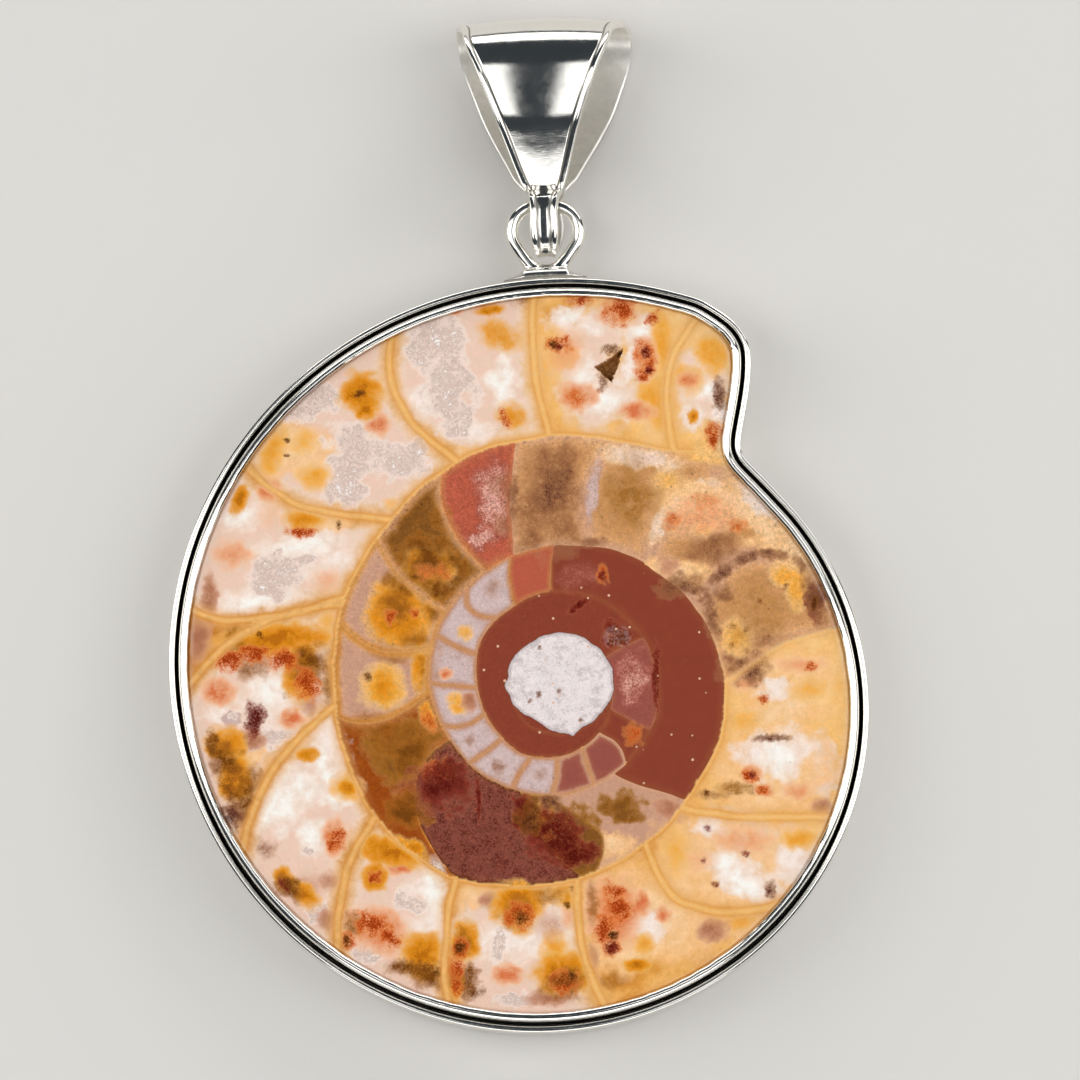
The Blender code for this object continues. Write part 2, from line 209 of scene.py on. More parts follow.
# Patches of one mineral in another, by mineral: place, half width, half height, and then, where they
# aren't 0 and 1, the degrees it is turned and its strength.
PATCHES = {
    "pink": (
        (11.9, 11.1, 1.6, 0.54, -45, 0.9), (14, 8.1, 0.48, 1.4, 38, 0.6), (6, 9.3, 0.36, 1, -22, 0.9),
        (7.1, 10.9, 1, 0.36, 48, 0.9), (8.9, 11.8, 1.1, 0.42, 5, 0.9), (10.7, 11, 1, 0.42, -35, 0.9),
        (12.2, 9.4, 1.2, 0.42, -52, 0.9), (5, 13.5, 2.2, 0.6, -8, 0.9), (2.3, 21.1, 2, 1.4),
        (5, 20.9, 0.84, 1.3), (3.1, 17.1, 2.4, 1.7), (1.4, 19.3, 1.7, 1.9), (8.7, 17.5, 1.6, 2),
        (11.3, -9.4, 3.1, 1.3, -10), (5.5, -14.1, 1.8, 1.4), (15.9, -5.1, 0.84, 1.9),
    ),
    "peach": (
        (-5.5, 13.6, 0.96, 0.42, -30, 0.7), (-16, 14.2, 2, 1.6), (-13.7, 9.7, 0.96, 0.72),
        (-18.4, -4.3, 1, 0.96), (5.6, -13.9, 3.6, 2.8), (11, -11.8, 4.2, 2.4, -20), (13.1, -1, 3, 3),
        (13.1, -5.2, 3, 2.2), (12.2, 9.8, 2.6, 0.96, -48), (14.6, 7.4, 1.2, 1.8, 30),
        (-4.6, -12.5, 0.96, 0.84), (0.2, -12.4, 1.6, 0.84), (3.2, -9.8, 1.2, 0.6), (8.6, 11, 1.9, 0.96),
        (6.8, 6.7, 1.8, 0.6), (14, -10, 1.8, 1.1),
    ),
    "milk": (
        (12.1, 10.9, 1.4, 0.48, -45, 0.9), (-8.7, 15.9, 0.6, 0.6, 0, 0.9), (0.4, 22.1, 1.1, 0.72),
        (2, 21.4, 1.2, 0.48), (1.5, 18.7, 0.84, 0.96), (3, 16.9, 1.4, 0.84), (4.4, 19.3, 0.54, 1.6, -25),
        (5, 21.1, 1.3, 0.66), (8.8, 17.7, 1.1, 0.96), (8.2, 16.1, 0.6, 0.72), (9.7, 16.3, 0.42, 0.72),
        (-4.9, 15.1, 0.96, 0.72), (-8.4, 16.9, 1, 1), (-13.6, -3.4, 0.84, 2, 15), (-17.2, -0.8, 1.8, 1.6),
        (-20.1, -2, 1.4, 0.48), (-7.3, -14.5, 1.4, 0.84), (-8.2, -12.4, 1.2, 0.6), (-2.2, -15.4, 3.1, 1.2),
        (-0.1, -14.6, 1.4, 1.1), (5.3, -14.5, 1.3, 0.9), (9.1, -8.7, 0.84, 0.6), (14.3, -10.9, 1.3, 1),
        (-19, 10, 1.3, 0.72, 20), (-15.4, 8.2, 2.8, 0.78, 8), (-18.3, 5, 2.6, 0.72, 8),
        (-13.6, 7.1, 1.6, 0.72, 20), (13.1, -4.3, 1.9, 1.3), (13, -0.4, 1, 0.72),
        (-4.5, -15.5, 0.24, 0.84, 10), (11.3, -11.8, 2.2, 0.96, -30),
    ),
    "lilac": (
        (2.2, 11.7, 0.36, 2, -8, 0.8), (-19.6, -2.2, 0.6, 0.42, 0, 0.8),
    ),
    "snow": (
        (-16.4, -7.4, 1.8, 1.3, 42), (-15.4, -6.3, 1.3, 1.2, 30), (-14.3, -9.3, 1.1, 1.1),
        (-13.9, -5.1, 0.48, 1.4, 20), (-13.3, -7, 0.96, 0.48), (-3.2, 18.2, 1.1, 1.6),
        (1.5, 18.7, 0.54, 0.6), (2.9, 16.9, 0.84, 0.48), (5, 21.1, 0.6, 0.36), (0.7, 22.1, 0.54, 0.36),
        (8.9, 17.7, 0.6, 0.48), (-19.2, 9.9, 0.84, 0.42, 20), (-15.4, 8.2, 2, 0.42, 10),
        (-17.9, 4.9, 1.7, 0.36, 8), (-17.3, -0.5, 0.9, 0.84), (-7.3, -12.4, 0.66, 1.6),
        (13.3, -4.7, 0.9, 1.2), (11, -12.1, 1.6, 0.6, -35), (10.3, -11.1, 0.6, 0.84),
        (0.2, -14.7, 0.72, 0.54),
    ),
    "quartz": (
        (-7, 20.6, 1.3, 1.4), (-6.5, 18.3, 1.4, 1.8), (-8, 19.9, 0.96, 1.1), (-12.4, 13.7, 1.3, 1.6),
        (-13, 12.2, 0.9, 1.3), (-9.4, 13.4, 1.4, 1.1, -25), (-8.3, 14.2, 0.54, 0.54),
        (-6.2, 15.8, 0.96, 1.2), (-14.8, 16.8, 1.9, 0.72, 20), (-12.7, 11.6, 0.96, 0.84),
        (-16.9, 6.4, 1.6, 1.1), (-15.1, 7.4, 0.72, 0.3), (-8.7, -13.3, 0.9, 0.42, -10),
        (-9.4, -12.8, 0.24, 0.48, -40), (-3.5, -15.7, 0.42, 1, -8), (-2.3, -19, 1.2, 0.36),
        (-14.3, -13.7, 0.6, 0.6), (-11.3, -16.4, 0.96, 0.48), (-16.2, -0.8, 0.3, 0.24),
        (-19.4, -2, 0.3, 0.18), (-14.9, -10.1, 0.36, 0.18), (-17.2, -3.3, 1.6, 0.6, 10),
    ),
    "gold": (
        (6.7, 12.1, 0.96, 0.66, 0, 0.55), (10.7, 2.6, 0.96, 0.96, 0, 0.7), (-13.7, 3.7, 0.54, 0.6, 0, 0.8),
        (6.5, 20, 0.66, 2.5, 8), (6.2, 16.9, 0.9, 1.7), (8.9, 20, 0.6, 0.84), (-0.1, 20, 0.66, 1.4, 0, 0.8),
        (-0.7, 18.7, 0.42, 1.6, 0, 0.6), (8, 18.2, 0.72, 0.78, 0, 0.7), (-15.2, 14.6, 0.78, 0.72, 0, 0.7),
        (-14.6, 12.4, 0.78, 0.72, 0, 0.8), (-10, 10.8, 0.48, 0.36, 0, 0.6), (9.4, 19.7, 0.72, 1.1),
        (7.9, 18.4, 0.78, 0.66), (-14.5, 12.5, 0.48, 0.42), (-17.1, 13.8, 0.66, 1.4, -20),
        (0.4, 19.6, 0.78, 0.6), (5.6, 17.4, 0.84, 0.78), (14.5, -9.4, 0.96, 0.54),
        (11, -14.2, 0.96, 0.6, 28), (5.2, -15.7, 0.6, 0.54), (14.4, 5.7, 0.6, 1.1), (13.6, 6.5, 0.72, 0.6),
        (15.1, -0.4, 1.1, 0.72, 0, 0.7), (11.2, -2.3, 1.1, 0.6, 0, 0.7), (7.1, -10, 0.84, 1.6, 0, 0.7),
        (-5.4, 3, 0.42, 0.42), (-5.9, -1.3, 0.6, 0.54), (-12.5, -6.3, 0.84, 0.72),
        (-0.2, -15.8, 0.72, 0.84), (0.4, -12.3, 0.9, 0.66), (-10.4, -0.2, 1.2, 1.3), (8.7, 9.3, 0.6, 0.36),
    ),
    "clay": (
        (2, -17.8, 0.48, 0.6, 0, 0.8), (2, -16.5, 0.42, 0.84, 0, 0.8), (-4, -13, 0.6, 0.54, 0, 0.8),
        (-13.6, -11.8, 0.72, 0.54, 0, 0.7), (6.7, 7, 0.72, 0.72, 0, 0.7), (-18.4, -3.5, 0.9, 0.6),
        (-0.4, -18.9, 1.3, 0.48), (-13.5, -14.2, 0.78, 0.66), (-5.2, -1.1, 0.48, 0.6),
        (-14.8, -1.3, 0.72, 0.72, 0, 0.7), (-0.4, -14.6, 1.1, 0.72, 0, 0.5),
        (-14.8, -12.1, 0.84, 0.84, 0, 0.5), (-21.4, 2.6, 0.54, 1.3), (15.9, -7.6, 0.66, 0.6),
        (9.4, -14.8, 0.78, 0.72), (-20.8, 5, 0.48, 1.4), (6.7, -7.7, 0.96, 0.54, -20), (2, -13.3, 0.3, 1.4),
    ),
    "rose": (
        (-3.9, 11, 0.9, 2), (-4.6, 8.7, 0.9, 0.54), (1.3, 6.3, 1.4, 0.9, 0, 0.4),
        (4.4, 0.1, 0.96, 1.6, 0, 0.85), (2, -5.5, 0.72, 0.48, 0, 0.5),
    ),
    "salmon": (
        (8.6, -10.6, 0.84, 0.6, 0, 0.4), (0.9, -14, 0.6, 0.72, 0, 0.6), (-13.8, 6.1, 0.9, 0.78, 0, 0.5),
        (3.8, 22.5, 1.1, 1, 0, 0.65), (-19.5, 7.7, 1, 0.72, -10, 0.7), (-17.3, 10.1, 0.78, 0.84, 0, 0.35),
        (8.8, 10.1, 2, 1.1, 8, 0.6), (0.7, 19.9, 0.96, 1.3, 0, 0.5), (-6.1, 22.5, 0.48, 0.3),
        (-4.1, 22.5, 0.84, 0.42), (-10.8, 15.5, 0.66, 0.66), (-17.3, 11.6, 0.66, 0.66),
        (-20.3, -0.6, 0.9, 0.72), (-15.9, -2.2, 0.66, 0.54), (-13.3, -9.3, 0.72, 0.9),
        (-9.5, -11.1, 0.84, 0.42), (-10.7, -14.9, 1.7, 1.2, -25), (-2.8, -17.5, 0.72, 0.54),
        (5, -13.2, 0.48, 0.72), (3.4, -13.9, 1.3, 1.9), (6.4, -13.9, 0.42, 0.48),
        (11.2, -9.5, 1.6, 0.72, 0, 0.6), (14.4, -6.5, 0.72, 0.48, 0, 0.7), (14.6, 1.1, 1.3, 0.42, 0, 0.6),
        (11.2, 0, 0.9, 0.48, 0, 0.6), (1.2, 17.2, 1, 0.78), (4.7, 16.4, 1, 0.54), (5.3, 19.5, 0.6, 1.1),
        (7.9, 18.2, 0.54, 0.48), (12.5, -6.5, 0.54, 0.36), (11.6, -5.5, 0.54, 0.48), (-6.6, 0.5, 0.36, 0.3),
        (-3.4, -17.5, 0.6, 0.48),
    ),
    "ochre": (
        (-14.9, -12.9, 0.66, 0.54, -40, 0.6), (-11.2, -9.5, 0.6, 0.48, 0, 0.8),
        (0.8, -13, 0.54, 0.54, 0, 0.7), (-8.2, 1.7, 0.42, 2, 0, 0.85), (-7.6, 4.6, 0.42, 1.2, -18, 0.8),
        (-7.8, -1.7, 0.42, 0.96, 14, 0.8), (-10.4, -0.2, 0.9, 1, 0, 0.72),
        (-3.4, 20.9, 1.2, 0.84, -25, 0.62), (-2.7, 16.1, 0.9, 0.72, 0, 0.6), (-15.2, 9.8, 1, 0.66, 0, 0.75),
        (-0.7, -7.7, 0.48, 0.6), (-11.8, 17.5, 1.2, 1.1), (-11.6, 16.4, 0.54, 0.54),
        (-4, 22.4, 0.72, 0.24, 10), (-19.1, 11, 0.42, 0.84, -20), (-16.9, 2.6, 2.9, 0.84, 3),
        (-15.4, 0.9, 0.84, 1.8), (-19.9, -3.7, 1.1, 0.84), (-19.3, -5.8, 0.9, 1.3),
        (-12.5, -6.3, 0.48, 0.42), (-14.9, -4.3, 0.6, 0.36), (-16.4, -11.7, 0.66, 0.54, -40),
        (-15.2, -12.6, 0.72, 0.54, -40), (-9.9, -10.1, 1.8, 0.78, -8), (-8.5, -10, 0.54, 0.42),
        (-10.9, -11.6, 0.66, 0.72), (-8, -16.3, 1.1, 1.2), (-5.5, -15.5, 0.78, 1), (-2.3, -13.4, 1.2, 1.3),
        (0.3, -17.4, 1.4, 1.1), (4.8, -16.9, 0.72, 0.36), (-6.1, -18.1, 0.48, 0.78), (-9.4, 4.1, 1.7, 1.9),
        (-7.7, 7, 1.3, 1.1), (-0.5, -9.2, 0.3, 0.3), (8.2, 16, 0.3, 0.36),
    ),
    "bistre": (
        (-6.5, -17.9, 0.54, 0.6), (-19.3, 2.6, 0.6, 0.6, 0, 0.7), (-6.1, 7.3, 0.42, 0.96, 40, 0.9),
        (-2.4, -14, 0.9, 0.84, 0, 0.55), (-6.9, 10, 0.54, 0.66, 0, 0.9), (-8.8, -4.3, 0.9, 1.1, 0, 0.9),
        (-9.9, 1.7, 1.1, 0.54, -10, 0.6), (3.3, -17.9, 0.9, 0.48, 0, 0.5), (-6.4, -17.8, 0.78, 0.6),
        (-10.5, -2.5, 1.4, 0.66, 0, 0.8), (-8.2, 2.3, 1.2, 0.84, 0, 0.6), (-7.6, 0.7, 0.54, 1.3, 0, 0.6),
        (-18.4, 1.1, 0.96, 0.72, 0, 0.7), (-18.3, -5.9, 0.96, 0.72, 0, 0.7), (-18.8, -7.2, 0.72, 1.2, -20),
        (-19.9, -4.7, 0.78, 0.96), (-20.7, -3.7, 0.36, 0.72), (-7.6, -17.6, 1, 0.66),
        (-9.3, -17.1, 0.78, 0.48), (-5.3, -17.9, 0.48, 0.96), (-14.7, 1.1, 1, 0.96),
        (-13.6, -0.4, 0.54, 1.3, 0, 0.7), (-8.9, 6.1, 1.3, 0.84), (-7.3, 5.1, 0.78, 1.4),
        (-7.7, 7.5, 1.4, 1.2), (0.4, -18, 1.1, 0.72), (-16.1, -12.2, 0.84, 0.54, -40),
        (-12.3, -14.5, 0.54, 0.72, 0, 0.8), (-8.8, -7.7, 1.1, 0.96), (-9.4, -3.3, 1.6, 0.96, 0, 0.7),
        (-5.7, -15.7, 0.54, 0.78, 0, 0.8), (-9.7, 4.6, 0.84, 0.96, 0, 0.7), (-19, 1.9, 1.2, 0.54, 0, 0.6),
        (-2, 23, 0.54, 0.36, 0, 0.5), (2.1, -13.3, 0.3, 1.1, 0, 0.6), (-0.5, -12.8, 1.1, 0.48, 0, 0.5),
    ),
    "rust": (
        (-7.6, -2.3, 0.42, 0.72, 20, 0.7), (-6.4, -17.1, 0.54, 0.84, 0, 0.7),
        (-2.7, -14.3, 0.48, 0.48, 0, 0.7), (-7.1, 6.7, 0.66, 0.54, 0, 0.5), (-8, 6.7, 0.48, 0.48, 0, 0.4),
        (4.5, -3, 0.6, 0.6, 0, 0.65), (3.3, 21.9, 0.54, 0.36, 0, 0.5), (1.1, 17.1, 0.72, 0.6, 0, 0.55),
        (6.9, 9.7, 0.54, 0.42, 0, 0.6), (10.9, 9.5, 0.54, 0.36, 0, 0.6), (8.8, 11, 0.84, 0.48, 0, 0.4),
        (1.4, 23.1, 0.84, 0.42, 0, 0.6), (5, 19.9, 0.54, 0.72, 0, 0.6), (5.1, 18.7, 0.6, 0.48, 0, 0.6),
        (3.8, 22.5, 0.78, 0.72), (5.8, 22, 0.36, 0.36), (1.5, 23.1, 0.42, 0.3), (5.5, 20, 0.3, 0.36),
        (5.6, 19, 0.36, 0.36), (5.1, 18.4, 0.36, 0.24), (0.1, 20.4, 0.66, 0.42), (9.4, 14.8, 0.42, 0.6),
        (-15.4, 9.1, 0.84, 0.24), (-18.1, 1.7, 0.78, 0.48), (-16.3, 1.3, 0.78, 0.72),
        (-14.9, -0.1, 0.6, 0.84), (-19.7, 1.3, 0.84, 0.54), (-13.2, -9.4, 0.42, 0.54),
        (-10.9, -11.6, 0.36, 0.36), (-11.1, -14.5, 0.9, 0.6, -20), (-10, -15.3, 0.72, 0.36, -30),
        (-2.2, -14, 0.72, 0.66), (-5.8, -15.8, 0.42, 0.54), (-5.9, -17.2, 0.3, 0.48),
        (-12.5, -15.5, 0.42, 0.48), (-6, -18.2, 0.3, 0.48), (3.3, -12.5, 0.6, 0.48),
        (3.8, -13.6, 0.66, 0.54), (2.8, -14.8, 0.54, 0.66), (3.2, -16, 0.48, 0.36),
        (11.6, -5.6, 0.42, 0.36), (12.4, -6.5, 0.36, 0.24), (15.2, 1, 0.3, 0.24), (12.4, -1, 0.3, 0.24),
        (-3.2, 16, 0.24, 0.48, 10), (0.4, -18, 0.72, 0.54), (2.7, 6.5, 0.3, 0.42), (-7.1, -5.3, 0.84, 0.54),
        (-10, 3.9, 0.3, 0.36), (-8.6, 4.2, 0.24, 0.24),
    ),
    "maroon": (
        (-2, -7.7, 0.6, 1), (-18.1, -2.2, 0.54, 0.9), (0, -9.3, 1.4, 1.5), (-6.7, -6.2, 1.7, 1.3, 0, 0.9),
        (1.1, -10.4, 1.3, 0.54, 15), (1.3, 4.6, 0.18, 0.78, -50), (2.7, 6.4, 0.24, 0.3),
        (3.2, -16, 0.36, 0.3), (5.3, 19.9, 0.24, 0.3), (5.5, 18.8, 0.24, 0.24), (0.1, 20.3, 0.24, 0.24),
        (9.1, -8.8, 0.24, 0.18, 0, 0.6), (11.3, -10.3, 0.24, 0.24, 0, 0.6),
        (8.8, -10.6, 0.18, 0.18, 0, 0.6), (9.4, -12.1, 0.24, 0.18, 0, 0.6),
        (11.7, -5.5, 0.24, 0.24, 0, 0.7), (15.5, 4.8, 0.48, 0.96), (-4.7, -7.1, 0.12, 1.2),
        (5.9, 0.2, 0.21, 1.9), (-16.3, -12.1, 0.36, 0.3, -40), (3.6, 2.8, 0.72, 0.78),
    ),
    "olive": (
        (12.2, 4.3, 2, 2.2, 0, 0.3), (-7.7, 7.9, 1.6, 1.3, 20, 0.6), (4.3, 11.2, 1.6, 2, 10, 0.42),
        (-8.9, -4, 1.7, 1.8), (3.8, -7.6, 1.2, 0.84), (1.4, -8.4, 0.84, 0.84),
        (10.7, -6.4, 1.2, 0.42, 0, 0.5),
    ),
    "smoke": (
        (0.5, 12.5, 0.6, 1.6, 0, 0.8), (2, 8.5, 0.84, 0.3, 0, 0.7), (9.1, 4.9, 0.42, 0.72, 10, 0.8),
        (-0.2, 11.8, 1.3, 2, 6, 0.8), (8.4, 5.6, 0.78, 0.3, 5, 0.8), (9.9, 6.6, 0.9, 0.3, 40, 0.95),
        (11.3, 7.5, 0.84, 0.3, 22, 0.95), (12.9, 7.7, 0.84, 0.3, -8, 0.9), (14.6, 7, 0.3, 0.72, 35, 0.8),
        (9.3, 3.7, 0.36, 1.3, 12, 0.8), (-0.3, -7.1, 0.6, 0.54), (-17.5, -9.9, 0.72, 0.48, -35, 0.5),
        (-2.7, 11, 0.36, 1.3, 0, 0.8), (6.9, 5.9, 0.84, 0.42, 20, 0.8), (9.3, 8.2, 1.6, 0.84, 0, 0.62),
        (11.1, 0.9, 1.4, 0.84, 20), (7.5, 5.9, 1.2, 0.54, 25, 0.8), (-1.6, 8.5, 0.96, 0.72, 0, 0.6),
        (12.7, 2.5, 0.96, 0.48, 0, 0.5), (-0.8, 10.7, 2, 2.6, 5, 0.6), (9.7, 17.4, 0.36, 0.84),
        (15.5, 5.2, 0.54, 1.8, 15, 0.7), (12.9, -3.4, 1, 0.18), (12.8, -12.4, 0.3, 0.42),
        (-19.5, -8, 0.48, 0.84), (9.9, 5.4, 0.66, 0.54, 0, 0.6), (-5.2, -3.5, 0.36, 0.3, 0, 0.5),
        (-3.4, -5.1, 0.36, 0.42, 0, 0.6), (-1, -5.5, 0.48, 0.36, 0, 0.4), (-3.8, 5.7, 0.54, 0.48, 0, 0.4),
        (9.3, -6.8, 0.96, 0.24, 0, 0.5),
    ),
    "dark": (
        (-1.6, -8.2, 0.72, 0.78), (3.2, 20, 0.54, 0.3, 0, 0.7), (2.7, 18.3, 0.3, 0.48, 0, 0.6),
        (-8, -17.2, 0.78, 0.36, 0, 0.6), (0.3, -17.9, 0.78, 0.36, 0, 0.6), (-5, -18.5, 0.54, 0.48, 0, 0.6),
        (-20.6, -3.7, 0.3, 0.72, 0, 0.5), (-19.7, -6.4, 0.42, 0.72, 20, 0.5),
        (-16, -12, 0.6, 0.3, -40, 0.6), (-11.8, 17.4, 0.3, 0.24, 0, 0.7), (-0.2, 20.4, 0.24, 0.24),
        (-16.3, 14.6, 0.18, 0.12), (-16.2, 13.7, 0.18, 0.12), (-13.1, 9.5, 0.12, 0.24),
        (13.7, 5.9, 0.18, 0.18, 0, 0.6), (12.1, 4.9, 0.18, 0.18, 0, 0.6), (10.5, 3.4, 0.18, 0.18, 0, 0.6),
        (11.3, 3.2, 0.18, 0.18, 0, 0.6), (10.5, 2.2, 0.24, 0.18, 0, 0.6), (15.5, 4.8, 0.18, 0.36),
        (-7, -17.4, 0.3, 0.24), (-2.2, -14.1, 0.42, 0.36), (-5.8, -15.8, 0.24, 0.36),
        (0.8, -17.6, 0.3, 0.3), (-11.4, 0.4, 0.18, 0.24), (-17.8, 2.9, 0.18, 0.18), (3.3, -15.2, 0.24, 0.3),
        (1, -12.4, 0.18, 0.18), (0.7, -13.4, 0.18, 0.18), (-12.6, -15.5, 0.24, 0.3), (9, -6.7, 0.18, 0.12),
        (5, -10, 0.24, 0.18, 0, 0.7), (-1.1, -0.7, 0.15, 0.18), (0.1, -0.5, 0.12, 0.15),
        (-1.6, -1.1, 0.12, 0.12), (1.4, -2.3, 0.096, 0.096), (-1.1, 2.1, 0.096, 0.096),
    ),
}


def linear(code):
    """The linear colour of an sRGB hex value such as #C0A080."""
    parts = [int(code[i : i + 2], 16) / 255 for i in (1, 3, 5)]
    return tuple(part / 12.92 if part <= 0.04045 else ((part + 0.055) / 1.055) ** 2.4 for part in parts)


def length(name, description, value):
    """A setting for a length, with its default in millimetres."""
    return FloatProperty(
        name=name, description=description, default=value * MM, min=0.0, unit="LENGTH", precision=6
    )


def colour(name, description, code):
    """A setting for a colour, with its default as a hex value."""
    return FloatVectorProperty(
        name=name, description=description, default=linear(code), size=3, min=0.0, max=1.0, subtype="COLOR"
    )


class StoneSettings(bpy.types.PropertyGroup):
    """The polished slice."""

    top: length("Face height", "Height of the polished face above the back of the setting", 4.3)
    underside: length("Underside", "Height of the slice's back above the back of the setting", 0.9)
    edge_round: length("Edge rounding", "Radius of the slice's ground edges", 0.3)
    front_grain: length("Face spacing", "Distance between the mesh points of the polished face", 0.16)
    back_grain: length("Back spacing", "Distance between the mesh points of the back", 0.34)
    crystal_grain: length("Crystal spacing", "Distance between the mesh points inside a hollow", 0.06)
    line_width: length("Wall line width", "Half the width of a wall's line where the coil is widest", 0.22)


class SilverSettings(bpy.types.PropertyGroup):
    """The silver setting, loop and bail."""

    wall_thick: length("Wall thickness", "Thickness of the setting's outer wall", 0.42)
    wall_height: length("Wall height", "Height of the setting's outer wall", 4.3)
    groove: length("Groove", "Width of the groove between the wall and the bezel", 0.18)
    bezel_thick: length("Bezel thickness", "Thickness of the strip that is rubbed over the stone", 0.32)
    bezel_top: length("Bezel top", "Height of the bezel's lip", 4.74)
    lip_reach: length("Lip reach", "How far the lip reaches over the stone's edge", 0.26)
    ledge_thick: length("Ledge thickness", "Thickness of the ledge under the stone", 0.6)
    ledge_reach: length("Ledge reach", "Width of the ledge under the stone", 2.0)
    wire: length("Wire radius", "Radius of the ring's wire", 0.4)
    bail_thick: length("Bail thickness", "Thickness of the bail's strip", 0.4)
    rim_width: length("Bail rim width", "Width of the raised rims of the bail", 0.34)
    rim_height: length("Bail rim height", "Height of the raised rims of the bail", 0.12)
    tone: colour("Silver", "Colour of the polished silver", "#F4F1EA")
    tarnish: colour("Tarnish", "Colour of the dull silver in grooves and corners", "#5A5248")


class StageSettings(bpy.types.PropertyGroup):
    """The floor, the lights and the camera."""

    floor: colour("Floor", "Colour of the floor", "#DEDBD6")
    distance: length("Camera distance", "Distance of the camera from the pendant", 600.0)
    tilt: FloatProperty(
        name="Camera tilt",
        description="How far the camera leans from straight above towards the pendant's foot",
        default=math.radians(5.0),
        subtype="ANGLE",
    )
    view_width: length("View width", "Width of the picture at the pendant", 64.8)
    strength: FloatProperty(name="Light", description="Brightness of the lights", default=1.0, min=0.0)


def smooth_loop(points, steps):
    """A closed smooth curve through the points, with so many steps between one and the next."""
    start = np.array(points, float)
    before, end, after = (np.roll(start, shift, 0)[:, None] for shift in (1, -1, -2))
    start = start[:, None]
    t = (np.arange(steps) / steps)[None, :, None]
    curve = (
        start
        + 0.5 * t * (end - before)
        + t * t * (before - 2.5 * start + 2 * end - 0.5 * after)
        + t * t * t * (1.5 * start - 0.5 * before - 1.5 * end + 0.5 * after)
    )
    return curve.reshape(-1, start.shape[-1])


def coil_point(angle, outwards=0.0):
    """The point of the setting's spiral at an angle, moved outwards."""
    turns = (angle - COIL_START) / math.tau
    oval = 1 + COIL_OVAL * np.cos(2 * (angle - COIL_OVAL_TOWARDS))
    radius = COIL_START_RADIUS * np.exp(-COIL_SHRINK_PER_TURN * turns) * oval + outwards
    return COIL_MIDDLE + np.stack((radius * np.cos(angle), radius * np.sin(angle)), -1)


def sharp_outline(steps=OUTLINE_STEPS):
    """The setting's outer edge, anticlockwise, with the corners of its mouth as they were first bent."""
    spiral = coil_point(np.linspace(COIL_FROM, COIL_TO, COIL_POINTS))
    return smooth_loop(np.vstack((spiral, MOUTH_STEP)), steps)


def shell_outline():
    """The setting's outer edge with its corners polished round, in even steps."""
    sharp = sharp_outline()
    closed = np.vstack((sharp, sharp[:1]))
    along = np.concatenate(((0.0,), np.cumsum(np.linalg.norm(np.diff(closed, axis=0), axis=1))))
    even = np.linspace(0, along[-1], OUTLINE_POINTS, endpoint=False)
    outline = np.stack([np.interp(even, along, axis) for axis in closed.T], -1)
    for _ in range(CORNER_POLISH):
        outline = (np.roll(outline, 1, 0) + 2 * outline + np.roll(outline, -1, 0)) / 4
    return outline


def inset(outline, distance):
    """The outline moved inwards, at right angles to itself, by one distance or one for each point."""
    along = np.roll(outline, -1, 0) - np.roll(outline, 1, 0)
    along /= np.linalg.norm(along, axis=1)[:, None]
    inwards = np.stack((-along[:, 1], along[:, 0]), -1)
    return outline + inwards * np.reshape(distance, (-1, 1))


def deep_inset(outline, distance, steps=12):
    """The outline moved far inwards in small steps, and smoothed so that it doesn't cross itself."""
    for _ in range(steps):
        moved = inset(outline, distance / steps)
        outline = (np.roll(moved, 1, 0) + 2 * moved + np.roll(moved, -1, 0)) / 4
    return outline


def coil_place():
    """Where the middle of the coil lies, in millimetres, from the box of the setting's frame."""
    low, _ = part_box("outer_frame")
    return np.array(low.xy) / MM - sharp_outline(2).min(0)


def wander(count, waves, seed):
    """A smooth closed line of heights from -1 to 1, with so many random waves along it."""
    random = np.random.default_rng(seed)
    turn = np.linspace(0, math.tau, count, endpoint=False)
    line = np.zeros(count)
    for wave in range(1, waves + 1):
        line += random.normal() * np.cos(wave * turn + random.uniform(0, math.tau)) / math.sqrt(waves)
    return np.clip(line / 2, -1, 1)


def new_piece(name, points, faces, body, material, slot_name, *nodes):
    """A mesh object made of points in millimetres about the coil's middle, riding on a body."""
    mesh = bpy.data.meshes.new(name)
    mesh.from_pydata(points, [], faces)
    mesh.update()
    place = coil_place()
    mesh.transform(Matrix.Scale(MM, 4) @ Matrix.Translation((*place, 0.0)))
    mesh.shade_smooth()
    mesh.set_sharp_from_angle(angle=SHARP_ANGLE)
    mesh.materials.append(material)
    piece = bpy.data.objects.new(name, mesh)
    bpy.context.scene.collection.objects.link(piece)
    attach(piece, body)
    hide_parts(*nodes)
    return piece


def ring_faces(rings, count, closed=False):
    """Quads between rings of points that are stored one after the other."""
    faces = []
    for ring in range(rings if closed else rings - 1):
        here, there = ring * count, (ring + 1) % rings * count
        for i in range(count):
            after = (i + 1) % count
            faces.append((here + i, here + after, there + after, there + i))
    return faces


def set_attribute(mesh, name, values):
    """Keeps one number for each point of the mesh, for its material to read."""
    mesh.attributes.new(name, "FLOAT", "POINT").data.foreach_set("value", np.asarray(values, np.float32))


def fill_inputs(tree, node, inputs):
    """Gives each of a node's inputs a value or a link."""
    for socket, value in inputs.items():
        if isinstance(value, bpy.types.NodeSocket):
            tree.links.new(value, node.inputs[socket])
        else:
            node.inputs[socket].default_value = value


def add_node(tree, kind, *values, **settings):
    """Adds a shader node, with its inputs filled in order or from a dictionary, and gives its outputs."""
    node = tree.nodes.new("ShaderNode" + kind)
    for name, value in settings.items():
        setattr(node, name, value)
    named = values and isinstance(values[0], dict)
    fill_inputs(tree, node, values[0] if named else dict(enumerate(values)))
    return node.outputs


